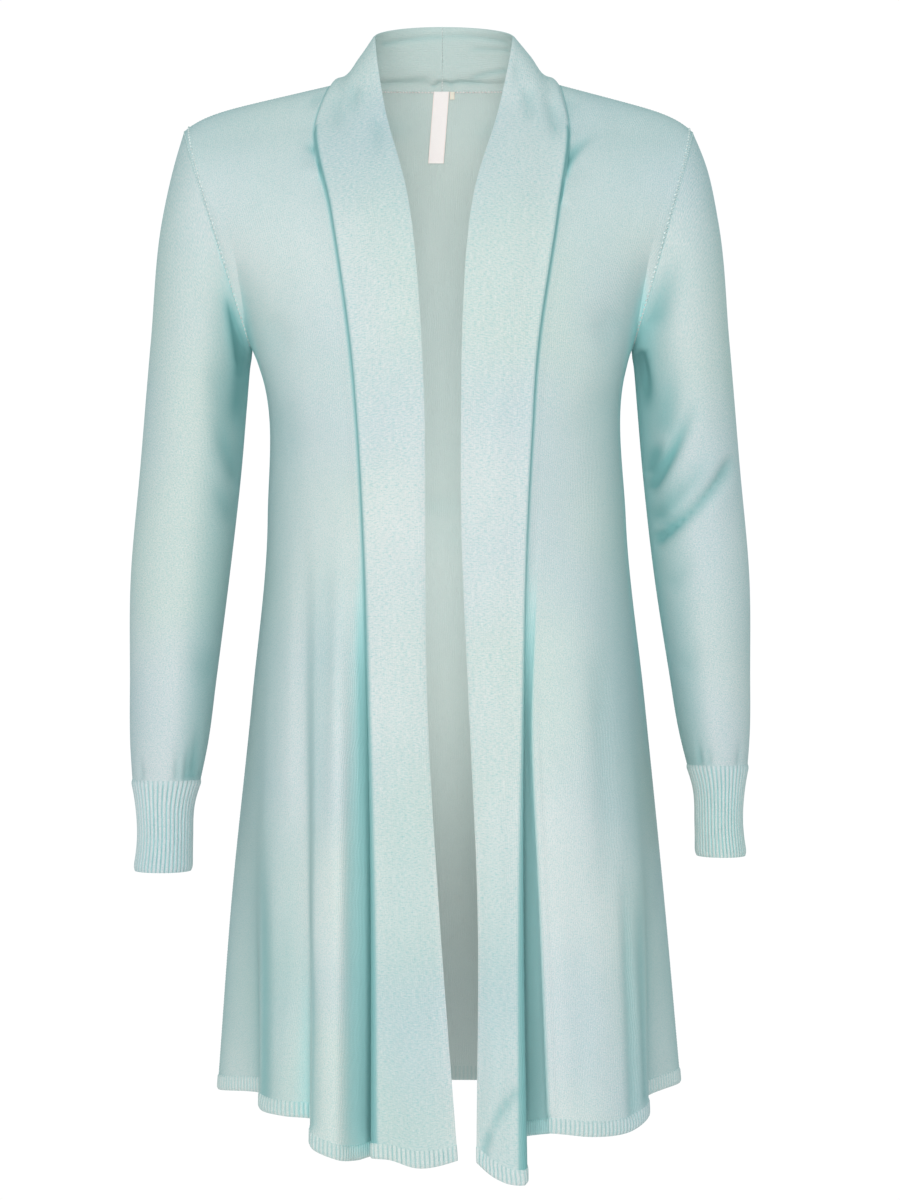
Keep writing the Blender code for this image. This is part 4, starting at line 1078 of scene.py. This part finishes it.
def new_mesh(name, points, faces, flat, marks):
    """A closed mesh with its UV map and its marks, a number to each point."""
    a, b, c, d = (points[faces[:, corner]] for corner in range(4))
    volume = np.einsum("ij,ij->i", a, np.cross(b, c)).sum()
    volume += np.einsum("ij,ij->i", a, np.cross(c, d)).sum()
    if volume < 0:
        faces = faces[:, ::-1]
    mesh = bpy.data.meshes.new(name)
    mesh.from_pydata(points.tolist(), [], faces.tolist())
    mesh.shade_smooth()
    mesh.set_sharp_from_angle(angle=math.radians(50))
    layer = mesh.uv_layers.new(name="knit")
    corners = np.zeros(len(mesh.loops), np.int32)
    mesh.loops.foreach_get("vertex_index", corners)
    layer.uv.foreach_set("vector", flat[corners].astype(np.float32).ravel())
    for mark, values in marks.items():
        layer = mesh.attributes.new(mark, "FLOAT", "POINT")
        layer.data.foreach_set("value", values.astype(np.float32))
    return mesh


def add_piece(name, mesh, material, slot, *nodes):
    """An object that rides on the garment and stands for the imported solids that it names."""
    piece = bpy.data.objects.new(name, mesh)
    mesh.materials.append(material)
    bpy.context.scene.collection.objects.link(piece)
    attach(piece, "root")
    if nodes:
        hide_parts(*nodes)
    return piece


def wall_mesh(name, outer, inner, flat, hollow=None, closed=False):
    """A wall between an outer and an inner grid of the same size, marked inside and with the painted shade of
    its hollows.
    """
    rows, columns = outer.shape[:2]
    count = rows * columns
    points = np.vstack([outer.reshape(-1, 3), inner.reshape(-1, 3)])
    numbers = np.arange(count).reshape(rows, columns)
    faces = [grid_faces(rows, columns, 0, closed), grid_faces(rows, columns, count, closed)[:, ::-1]]
    ring = np.append(np.arange(columns), 0) if closed else np.arange(columns)
    faces.append(edge_faces(numbers[0, ring], count + numbers[0, ring]))
    faces.append(edge_faces(count + numbers[-1, ring], numbers[-1, ring]))
    if not closed:
        faces.append(edge_faces(count + numbers[:, 0], numbers[:, 0]))
        faces.append(edge_faces(numbers[:, -1], count + numbers[:, -1]))
    flat = np.vstack([flat.reshape(-1, 2)] * 2)
    hollow = np.zeros((rows, columns)) if hollow is None else hollow
    marks = {"inside": np.repeat([0.0, 1.0], count), "hollow": np.tile(hollow.ravel(), 2)}
    return new_mesh(name, points, np.vstack(faces), flat, marks)


def flat_place(grid, start=0):
    """Place on the flat cloth: the way across from a starting column, and the way up from the first row."""
    steps = np.linalg.norm(np.diff(grid, axis=1), axis=2)
    across = np.concatenate([np.zeros((len(grid), 1)), np.cumsum(steps, axis=1)], axis=1)
    across -= across[:, start : start + 1]
    steps = np.linalg.norm(np.diff(grid, axis=0), axis=2)
    up = np.concatenate([np.zeros((1, grid.shape[1])), np.cumsum(steps, axis=0)], axis=0)
    up = np.broadcast_to(up.mean(axis=1, keepdims=True), across.shape)
    return np.stack([across, up], axis=-1)


print("a grid of 3 by 4 points has", len(grid_faces(3, 4)), "quads")

# %% [markdown]
# ## The knit
#
# Plain knitting seen close is a field of small V shapes. They stack into upright cords, the wales, a little
# over a millimetre apart, and each row of V's is a course. From a step away only a fine upright grain is
# left, and the yarn's own flecks: this one is spun from pale green, pale blue and white fibres, so broad
# patches drift from one to the other. The low parts between the wales are painted a little teal, as painted
# shade. Where cloth lies against cloth, light reaches it only by way of more dyed cloth, so a saturated teal
# is painted in wherever ambient occlusion finds cloth close by: painted shade that stands for that bounced
# light. Creases, folds, seams, rib valleys and sides that turn away from the lamps get a darker teal painted
# in too, as painted shade kept at each point under the name "hollow". The inner side shows the back of the
# stitches and is greyer; its colour is also darker, as painted shade.
#
# An image texture would need a photograph of the cloth. Waves worked out from the flat place give stitches
# that follow each panel and never repeat the same fleck.

# %% Knit material
WALE = 0.0018
COURSE = 0.0013
YARN_GREEN = (0.620, 0.685, 0.648, 1.0)
YARN_BLUE = (0.590, 0.646, 0.674, 1.0)
YARN_WHITE = (0.765, 0.763, 0.749, 1.0)
# The teal is a fleck colour of the yarn and also painted shade between the wales. The deep and crease colours
# below are painted shade, and the inside colour is partly painted shade.
TEAL_FLECK_AND_SHADE = (0.335, 0.565, 0.565, 1.0)
TUCK_SHADE_TEAL = (0.560, 0.910, 0.910, 1.0)
HOLLOW_SHADE_TEAL = (0.215, 0.455, 0.455, 1.0)
INSIDE_KNIT_AND_SHADE = (0.545, 0.640, 0.615, 1.0)
PATCH_SCALE = 6.0
PALE_SHIFT = (3.1, 1.7, 0.4)
SWAY_SCALE = 45.0
SWAY_IN_WALES = 3.0
FLECK_SCALE = 900.0
GRAIN_SCALE = 420.0
TUCK_SHADE_REACH = 0.035


def new_knit(name, stitch_depth, wale_valley_shade, streak):
    """A knitted cloth. Painted shade darkens the low parts between the wales by their share, and the flecks
    are streak times as long as high.
    """
    material = bpy.data.materials.new(name)
    material.use_nodes = True
    shader = material.node_tree.nodes["Principled BSDF"]
    make = Maker(material.node_tree)
    flat = make.node("ShaderNodeUVMap", {"uv_map": "knit"})
    across = make.node("ShaderNodeSeparateXYZ", None, flat, out="X")
    along = make.node("ShaderNodeSeparateXYZ", None, flat, out="Y")
    place = make.node("ShaderNodeTexCoord", None, out="Object")

    sway = make.noise(place, SWAY_SCALE, 1.0) * SWAY_IN_WALES
    cord = ((across / WALE + sway).fraction() - 0.5).absolute() * 2
    course = ((along / COURSE + cord) * (2 * math.pi)).sine() * 0.5 + 0.5
    stitch = (1 - cord * cord) * (course * 0.35 + 0.65)

    fleck_size = (FLECK_SCALE / streak, FLECK_SCALE, 1.0)
    yarn = make.node("ShaderNodeVectorMath", {"operation": "MULTIPLY"}, flat, fleck_size)
    fleck = make.noise(yarn, 1.0, 2.0, 0.7)
    grain = make.noise(place, GRAIN_SCALE, 1.0)
    patch = make.noise(place, PATCH_SCALE, 1.5).between(0.36, 0.64)
    colour = make.blend(patch, YARN_GREEN, YARN_BLUE)
    pale = make.node("ShaderNodeVectorMath", {"operation": "ADD"}, place, PALE_SHIFT)
    pale_patch = make.noise(pale, 1.3 * PATCH_SCALE, 1.5).between(0.45, 0.70)
    colour = make.blend(pale_patch * 0.5, colour, YARN_WHITE)
    colour = make.blend(fleck.between(0.50, 0.72), colour, YARN_WHITE)
    colour = make.blend(fleck.between(0.48, 0.26) * 0.85, colour, TEAL_FLECK_AND_SHADE)
    colour = make.blend(grain.between(0.55, 0.25) * 0.20, colour, TEAL_FLECK_AND_SHADE)
    # Painted shade: the low parts between the wales turn teal.
    colour = make.blend((1 - stitch) * wale_valley_shade, colour, TEAL_FLECK_AND_SHADE)
    # The inner side is greyer for the back of the stitches and darker as painted shade.
    hidden = make.node("ShaderNodeAttribute", {"attribute_name": "inside"}, out="Fac")
    colour = make.blend(hidden * 0.8, colour, INSIDE_KNIT_AND_SHADE)
    # Painted shade: a saturated teal where ambient occlusion finds cloth close by, standing for light bounced
    # between dyed folds.
    open_air = make.node("ShaderNodeAmbientOcclusion", {"samples": 8}, Distance=TUCK_SHADE_REACH, out="AO")
    colour = make.blend(open_air.between(0.80, 0.20) * (1 - hidden * 0.9), colour, TUCK_SHADE_TEAL)
    # Painted shade from the "hollow" mark: creases, folds, seams, rib valleys and turned-away sides darkened
    # towards teal.
    crease = make.node("ShaderNodeAttribute", {"attribute_name": "hollow"}, out="Fac")
    colour = make.blend(crease * (1 - hidden * 0.35), colour, HOLLOW_SHADE_TEAL)
    make.put(shader.inputs["Base Color"], colour)

    height = stitch + fleck * 0.6
    bump = make.node("ShaderNodeBump", None, Strength=0.7, Distance=stitch_depth, Height=height)
    make.put(shader.inputs["Normal"], bump)
    shader.inputs["Roughness"].default_value = 0.92
    shader.inputs["Specular IOR Level"].default_value = 0.2
    shader.inputs["Sheen Weight"].default_value = 0.08
    shader.inputs["Sheen Roughness"].default_value = 0.6
    shader.inputs["Sheen Tint"].default_value = (0.85, 1.0, 0.98, 1.0)
    return material


knit = new_knit("fine knit", 0.0003, 0.09, 0.8)
band_knit = new_knit("fine knit of the band", 0.0003, 0.04, 2.6)
sleeve_knit = new_knit("fine knit of the sleeves", 0.0003, 0.06, 1.8)
rib_knit = new_knit("ribbed knit", 0.0003, 0.0, 0.8)
print("materials:", [m.name for m in bpy.data.materials if "knit" in m.name])

# %% [markdown]
# ## Panels
#
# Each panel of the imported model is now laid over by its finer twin.

# %% Fronts, back, bands
def add_panel(name, thickness, material, start=0, free=None):
    """A panel above its hem rib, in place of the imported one. A free edge is thinner, so it looks round."""
    grid, normals = panels[name]
    outer, normals = grid[FINE_UP:], normals[FINE_UP:]
    wall = np.full(outer.shape[:2], thickness)
    dip = np.zeros(outer.shape[:2])
    if free is not None:
        dip[:, free] = 0.3 * thickness
        wall[:, free] = 0.7 * thickness
    inner = outer - normals * wall[..., None]
    outer = outer - normals * dip[..., None]
    mesh = wall_mesh(name + "_cloth", outer, inner, flat_place(outer, start), painted_shades[name][FINE_UP:])
    return add_piece(name + "_cloth", mesh, material, "fine_knit", name)


pieces = {}
for side_name in SIDES:
    pieces["front_" + side_name] = add_panel("front_" + side_name, WALL, knit)
    pieces["band_" + side_name] = add_panel("band_" + side_name, BAND_WALL, band_knit, free=0)
middle_column = panels["back"][0].shape[1] // 2
pieces["back"] = add_panel("back", WALL, knit, start=middle_column)
print("panels:", list(pieces))

# %% Sleeve walls
def add_sleeve(side_name):
    """A sleeve from the armhole to the cuff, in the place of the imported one."""
    name = "sleeve_" + side_name
    grid, normals = panels[name]
    girth = np.linalg.norm(np.diff(grid[3 * FINE_UP], axis=0), axis=1).sum()
    flat = flat_place(grid)
    flat[..., 0] = girth * np.arange(grid.shape[1]) / grid.shape[1]
    mesh = wall_mesh(name + "_cloth", grid, grid - normals * WALL, flat, painted_shades[name], closed=True)
    return add_piece(name + "_cloth", mesh, sleeve_knit, "fine_knit", name)


for side_name in SIDES:
    pieces["sleeve_" + side_name] = add_sleeve(side_name)
print("with sleeves:", len(pieces))

# %% [markdown]
# ## Ribs
#
# A rib is knitted by turning every few stitches to the back, so that the rest stand up as round cords. The
# cuffs are all rib, and a band of it 12 mm high finishes every hem and keeps it from curling. The ribs are
# real relief here, each a rounded cord with a sharp valley beside it, because the light picks them out.
# The valleys are also painted a darker teal, as painted shade.

# %% Hem ribs
RIB_PITCH = 0.0037
RIB_RISE = 0.0009
RIB_POINTS = 8
RIB_ROWS = 8


def rib_height(phase):
    """The rise of a rib, from 0 in the valley to 1 on the cord, for a place counted in ribs."""
    return np.abs(np.sin(math.pi * phase)) ** 0.6


def rib_valley_shade(phase):
    """How far a place counted in ribs lies down in the valley, from 0 to 1, used as painted shade in the
    valley.
    """
    return 0.48 * np.exp(-((((phase + 0.5) % 1 - 0.5) / 0.17) ** 2))


def resampled(line, count):
    """A line of points, or rows of them, at equal steps along it."""
    steps = np.linalg.norm(np.diff(line, axis=0), axis=1)
    way = np.concatenate([[0], np.cumsum(steps)])
    wanted = np.linspace(0, way[-1], count)
    return wanted, way


def along_line(values, way, wanted):
    return np.stack([np.interp(wanted, way, values[:, k]) for k in range(values.shape[1])], axis=1)


def add_hem_rib(panel, thickness):
    """The ribbed border under a panel, with its free bottom edge rounded."""
    grid, normals = panels[panel]
    base, normals = grid[: FINE_UP + 1], normals[: FINE_UP + 1]
    way_length = np.linalg.norm(np.diff(base[0], axis=0), axis=1).sum()
    ribs = round(way_length / RIB_PITCH)
    rows = []
    for values in (base, normals):
        lines = []
        for r in range(len(base)):
            wanted, way = resampled(base[r], ribs * RIB_POINTS + 1)
            lines.append(along_line(values[r], way, wanted))
        lines = np.array(lines)
        share = np.linspace(0, FINE_UP, RIB_ROWS + 1)
        low = np.minimum(share.astype(int), FINE_UP - 1)
        part = (share - low)[:, None, None]
        rows.append(lines[low] * (1 - part) + lines[low + 1] * part)
    base, normals = rows[0], unit(rows[1])
    phase = np.arange(ribs * RIB_POINTS + 1) / RIB_POINTS
    height = np.linspace(0, 1, RIB_ROWS + 1)[:, None]
    swell = ease(height * 5 + 0.35) * ease((1 - height) * 6 + 0.25)
    rise_by = RIB_RISE * rib_height(phase)[None, :] * swell
    rounded = 0.35 * thickness * (1 - ease(height * 5))
    outer = base + normals * (rise_by - rounded)[..., None]
    inner = base - normals * (thickness - rounded)[..., None]
    flat = np.stack(
        [
            np.broadcast_to(phase * RIB_PITCH, base.shape[:2]),
            np.broadcast_to(height * HEM_RIB_HEIGHT, base.shape[:2]),
        ],
        axis=-1,
    )
    name = "hem_rib_" + panel
    # The rib valleys carry painted shade.
    mesh = wall_mesh(name + "_cloth", outer, inner, flat, rib_valley_shade(phase) * np.ones_like(height))
    return add_piece(name + "_cloth", mesh, rib_knit, "ribbed_knit", name)


for side_name in SIDES:
    pieces["hem_rib_front_" + side_name] = add_hem_rib("front_" + side_name, WALL)
    pieces["hem_rib_band_" + side_name] = add_hem_rib("band_" + side_name, BAND_WALL)
pieces["hem_rib_back"] = add_hem_rib("back", WALL)
print("hem ribs:", [name for name in pieces if "rib" in name])

# %% Cuffs
CUFF_RIBS = 40
CUFF_RISE = 0.0015
CUFF_ROWS = 10


def add_cuff(side_name):
    """A ribbed cuff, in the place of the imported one, with its free edge rounded."""
    stations = sleeve_stations(CUFF, side_name, CUFF_ROWS)
    columns = CUFF_RIBS * RIB_POINTS
    angles = 2 * math.pi * np.arange(columns) / columns
    rings = np.array([sleeve_ring(station, angles) for station in stations])
    outward = unit(rings - rings.mean(axis=1, keepdims=True))
    down = np.linspace(0, 1, len(stations))[:, None]
    swell = ease(down * 14 + 0.2) * ease((1 - down) * 12 + 0.4)
    raised = CUFF_RISE * rib_height(np.arange(columns) / RIB_POINTS)[None, :] * swell
    rounded = 0.3 * WALL * (1 - ease((1 - down) * 12))
    outer = rings + outward * (raised - rounded)[..., None]
    inner = rings - outward * (WALL - rounded)[..., None]
    across = np.broadcast_to(np.arange(columns) / RIB_POINTS * RIB_PITCH, outer.shape[:2])
    along = np.broadcast_to(0.072 * down, outer.shape[:2])
    name = "cuff_" + side_name
    flat = np.stack([across, along], axis=-1)
    outer, inner = mirrored(outer, side_name), mirrored(inner, side_name)
    # The rib valleys carry painted shade.
    hollow = rib_valley_shade(np.arange(columns) / RIB_POINTS) * np.ones_like(down)
    mesh = wall_mesh(name + "_cloth", outer, inner, flat, hollow, closed=True)
    return add_piece(name + "_cloth", mesh, rib_knit, "ribbed_knit", name)


for side_name in SIDES:
    pieces["cuff_" + side_name] = add_cuff(side_name)
print("cuff ribs:", CUFF_RIBS)

# %% [markdown]
# ## Linking and fashioning marks
#
# The panels are linked loop by loop, which leaves a fine chain along each seam. Beside the armholes runs a
# row of small slanting marks: there the machine moved stitches inwards to narrow the panel. Each mark is a
# tiny rounded bead of yarn, set along a line of the panel's own grid.

# %% Rows of stitches
Stitch = namedtuple("Stitch", "length width height pitch lean")
CHAIN = Stitch(0.0024, 0.0011, 0.0007, 0.0024, 0.25)
MARK = Stitch(0.0030, 0.0013, 0.0010, 0.0040, 0.55)
BEAD = np.array(
    [(-0.5, 0, 0.1), (-0.25, -0.5, 0.1), (-0.25, 0, 1), (-0.25, 0.5, 0.1), (-0.25, 0, -0.6)]
    + [(0.25, -0.5, 0.1), (0.25, 0, 1), (0.25, 0.5, 0.1), (0.25, 0, -0.6), (0.5, 0, 0.1)]
)
BEAD_FACES = [
    (0, 2, 1), (0, 3, 2), (0, 4, 3), (0, 1, 4),
    (1, 2, 6, 5), (2, 3, 7, 6), (3, 4, 8, 7), (4, 1, 5, 8),
    (9, 5, 6), (9, 6, 7), (9, 7, 8), (9, 8, 5),
]


def stitch_row(line, outward, stitch, lift=0.0):
    """Points and faces of beads set along a line of points, on the side that outward points to."""
    steps = np.linalg.norm(np.diff(line, axis=0), axis=1)
    way = np.concatenate([[0], np.cumsum(steps)])
    places = np.arange(stitch.pitch / 2, way[-1], stitch.pitch)
    middle = along_line(line, way, places)
    along = unit(along_line(line, way, places + 0.0005) - along_line(line, way, places - 0.0005))
    out = along_line(outward, way, places)
    out = unit(out - along * (out * along).sum(axis=1, keepdims=True))
    aside = np.cross(along, out)
    tilted = unit(along + aside * stitch.lean)
    aside = np.cross(tilted, out)
    size = np.array([stitch.length, stitch.width, stitch.height])
    beads = BEAD * size
    points = middle[:, None] + out[:, None] * lift
    points = points + tilted[:, None] * beads[None, :, 0:1] + aside[:, None] * beads[None, :, 1:2]
    points = points + out[:, None] * beads[None, :, 2:3]
    faces = [tuple(len(BEAD) * k + i for i in face) for k in range(len(middle)) for face in BEAD_FACES]
    return points.reshape(-1, 3), faces


def add_stitches(name, rows, material):
    """One piece from several rows of stitches."""
    points, faces, count = [], [], 0
    for found, around in rows:
        points.append(found)
        faces += [tuple(count + i for i in face) for face in around]
        count += len(found)
    mesh = bpy.data.meshes.new(name)
    mesh.from_pydata(np.vstack(points).tolist(), [], faces)
    mesh.shade_smooth()
    return add_piece(name, mesh, material, "fine_knit")


print("a bead has", len(BEAD_FACES), "faces")

# %% Yarn material
def new_yarn(name, colour):
    """Plain yarn for stitches, with flecks as in the cloth."""
    material = bpy.data.materials.new(name)
    material.use_nodes = True
    shader = material.node_tree.nodes["Principled BSDF"]
    make = Maker(material.node_tree)
    place = make.node("ShaderNodeTexCoord", None, out="Object")
    fleck = make.noise(place, 700.0, 1.0)
    shade = tuple(0.72 * part for part in colour[:3]) + (1.0,)
    make.put(shader.inputs["Base Color"], make.blend(fleck.between(0.35, 0.65), shade, colour))
    bump = make.node("ShaderNodeBump", None, Strength=0.5, Distance=0.0002, Height=fleck)
    make.put(shader.inputs["Normal"], bump)
    shader.inputs["Roughness"].default_value = 0.9
    return material


seam_yarn = new_yarn("seam yarn", (0.84, 0.88, 0.86, 1.0))
pale_yarn = new_yarn("linking yarn", (0.93, 0.88, 0.86, 1.0))
print("yarns made")

# %% Armhole, shoulder and side seams
MARK_INSET = 0.0055


def panel_line(name, row=None, column=None, start=0, end=None):
    """One row or column of a panel's grid with its normals."""
    grid, normals = panels[name]
    if row is not None:
        return grid[row, start:end], normals[row, start:end]
    return grid[start:end, column], normals[start:end, column]


def inset_line(name, column, inner, start):
    """A line beside an armhole edge, a fixed way into the panel."""
    grid, normals = panels[name]
    edge, nearby = grid[start:, column], grid[start:, inner]
    way = np.linalg.norm(nearby - edge, axis=1, keepdims=True)
    share = np.minimum(MARK_INSET / way, 1.0)
    out = normals[start:, column] * (1 - share) + normals[start:, inner] * share
    return edge + (nearby - edge) * share, unit(out)


armpit_row = LEVEL_ROWS["armpit"]
for side_name in SIDES:
    front, back_edge = "front_" + side_name, -1 if side_name == "left" else 0
    marks = [stitch_row(*inset_line(front, -1, -4, armpit_row + 4), MARK, 0.0001)]
    step = -4 if side_name == "left" else 3
    marks.append(stitch_row(*inset_line("back", back_edge, step, armpit_row + 4), MARK, 0.0001))
    add_stitches("fashioning_marks_" + side_name, marks, seam_yarn)
    seams = [stitch_row(*panel_line("sleeve_" + side_name, row=0), CHAIN, -0.0004)]
    seams.append(stitch_row(*panel_line(front, row=-1), CHAIN, -0.0003))
    seams.append(stitch_row(*panel_line(front, column=-1, start=FINE_UP, end=armpit_row), CHAIN, -0.0005))
    underarm = panels["sleeve_" + side_name]
    seams.append(stitch_row(underarm[0][1:, 0], underarm[1][1:, 0], CHAIN, -0.0005))
    add_stitches("linked_seams_" + side_name, seams, seam_yarn)
print("seams linked on both sides")

# %% Neck and collar seams
NECK_CHAIN = Stitch(0.0026, 0.0013, 0.0008, 0.0026, 0.15)


def neck_rows():
    """The chain along the back neck, inside, and both faces of the seam in the middle of the collar."""
    top = LEVEL_ROWS["shoulder"]
    rows = []
    for side_name in SIDES:
        grid, normals = panels["band_" + side_name]
        inner = grid[top:, -1] - normals[top:, -1] * BAND_WALL
        rows.append(stitch_row(inner, -normals[top:, -1], NECK_CHAIN, 0.0001))
    return rows


def collar_rows():
    grid, normals = panels["band_left"]
    inner = grid[-1] - normals[-1] * BAND_WALL
    return [stitch_row(inner, -normals[-1], CHAIN, 0.0), stitch_row(grid[-1], normals[-1], CHAIN, 0.0)]


add_stitches("neck_linking", neck_rows(), pale_yarn)
add_stitches("collar_linking", collar_rows(), seam_yarn)
print("neck and collar linked")

# %% [markdown]
# ## Labels
#
# A woven label hangs from the back neck seam, with a small size tab beside it. Both are left blank. They
# follow the inside of the back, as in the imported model, and the long one lifts a little at its free end.

# %% Label cloth
LABEL_WHITE = (0.99, 0.91, 0.90, 1.0)
LABEL_EDGE = (0.86, 0.62, 0.55, 1.0)
TAB_CREAM = (0.86, 0.80, 0.68, 1.0)
LABEL_THREAD = 0.00035


def new_tape(name, colour, edge, width):
    """Woven tape with a thread grain and a warmer selvedge."""
    material = bpy.data.materials.new(name)
    material.use_nodes = True
    shader = material.node_tree.nodes["Principled BSDF"]
    make = Maker(material.node_tree)
    flat = make.node("ShaderNodeUVMap", {"uv_map": "knit"})
    across = make.node("ShaderNodeSeparateXYZ", None, flat, out="X")
    down = make.node("ShaderNodeSeparateXYZ", None, flat, out="Y")
    weave = (across * (2 * math.pi / LABEL_THREAD)).sine() * (down * (2 * math.pi / LABEL_THREAD)).sine()
    rim = across.absolute().between(width / 2 - 0.0007, width / 2 - 0.0002)
    tone = make.blend(rim * 0.55, colour, edge)
    woven = make.blend((weave * 0.5 + 0.5) * 0.06, tone, (0.7, 0.65, 0.62, 1.0))
    make.put(shader.inputs["Base Color"], woven)
    bump = make.node("ShaderNodeBump", None, Strength=0.3, Distance=0.0001, Height=weave)
    make.put(shader.inputs["Normal"], bump)
    shader.inputs["Roughness"].default_value = 0.55
    return material


Label = namedtuple("Label", "x z_top width height lean lift")
LABELS = {
    "neck_label": Label(-0.0006, 0.0152, 0.0127, 0.0575, -0.0045, 0.0012),
    "size_tab": Label(0.0082, 0.0150, 0.0038, 0.0060, 0.0, 0.0003),
}
LABEL_THICKNESS = 0.0010
LABEL_CLEARANCE = 0.0005
LABEL_ROWS = 30
LABEL_COLUMNS = 8
print("labels:", list(LABELS))

# %% Labels in place
def add_label(name, material):
    """A thin tape made from the inner points of the back."""
    label = LABELS[name]
    grid, normals = panels["back"]
    middle = grid.shape[1] // 2
    near = slice(middle - NECK_ROWS, middle + NECK_ROWS + 1)
    inside = (grid - normals * WALL)[-ARMHOLE_ROWS:, near]
    down = (np.arange(LABEL_ROWS + 1) / LABEL_ROWS)[:, None]
    across = np.arange(LABEL_COLUMNS + 1) / LABEL_COLUMNS - 0.5
    x = label.x + label.lean * down + label.width * across
    z = label.z_top - label.height * down + np.zeros_like(x)
    y = np.zeros_like(x)
    for i in range(LABEL_ROWS + 1):
        for j in range(LABEL_COLUMNS + 1):
            depth = [np.interp(x[i, j], line[:, 0], line[:, 1]) for line in inside]
            height = [np.interp(x[i, j], line[:, 0], line[:, 2]) for line in inside]
            y[i, j] = np.interp(z[i, j], height, depth) - LABEL_CLEARANCE
    y -= label.lift * ease(down * 1.4 - 0.4)
    front_side = np.stack([x, y - LABEL_THICKNESS, z], axis=2)
    rear_side = np.stack([x, y, z], axis=2)
    flat = np.stack([label.width * across + 0 * x, label.height * (1 - down) + 0 * x], axis=2)
    mesh = wall_mesh(name + "_tape", front_side, rear_side, flat)
    return add_piece(name + "_tape", mesh, material, name, name)


label_tape = new_tape("label tape", LABEL_WHITE, LABEL_EDGE, LABELS["neck_label"].width)
tab_tape = new_tape("tab tape", TAB_CREAM, LABEL_EDGE, LABELS["size_tab"].width)
pieces["neck_label"] = add_label("neck_label", label_tape)
pieces["size_tab"] = add_label("size_tab", tab_tape)
print("label size in mm:", [round(1000 * side, 1) for side in pieces["neck_label"].dimensions])

# %% [markdown]
# ## The sizes that were knitted
#
# Each panel's flat size before it was worn is listed and printed beside the area of its worn wall. The widths
# are measured across the widest part of each panel, and the area is that of the shaped panel, smaller than
# its rectangle.

Cut = namedtuple("Cut", "width length area held")
CUTS = {
    "back": Cut(0.550, 0.815, 0.345, "hung"),
    "front_left": Cut(0.260, 0.810, 0.147, "hung"),
    "front_right": Cut(0.260, 0.820, 0.145, "hung"),
    "band_left": Cut(0.115, 1.000, 0.077, "folded"),
    "band_right": Cut(0.115, 1.000, 0.075, "folded"),
    "sleeve_left": Cut(0.350, 0.520, 0.120, "hung"),
    "sleeve_right": Cut(0.350, 0.530, 0.120, "hung"),
    "cuff_left": Cut(0.175, 0.072, None, "hung"),
    "cuff_right": Cut(0.175, 0.072, None, "hung"),
    "neck_label": Cut(LABELS["neck_label"].width, LABELS["neck_label"].height, None, "hung"),
}
SEWN_ON = {"neck_label": "size_tab"}


def cloth_area(piece):
    """Half of a closed wall's surface."""
    return sum(face.area for face in piece.data.polygons) / 2


for name, cut in CUTS.items():
    area = cut.area or cut.width * cut.length
    print(name, "cut", round(area, 4), "worn", round(cloth_area(pieces[name]), 4))
    sewn_on = SEWN_ON.get(name, "hem_rib_" + name)
    with_pieces = [pieces[sewn_on]] if sewn_on in pieces else []

# %% [markdown]
# ## Last steps
#
# The bounds of the dressed garment are worked out.

# %% Sizes and finish
low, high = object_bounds()
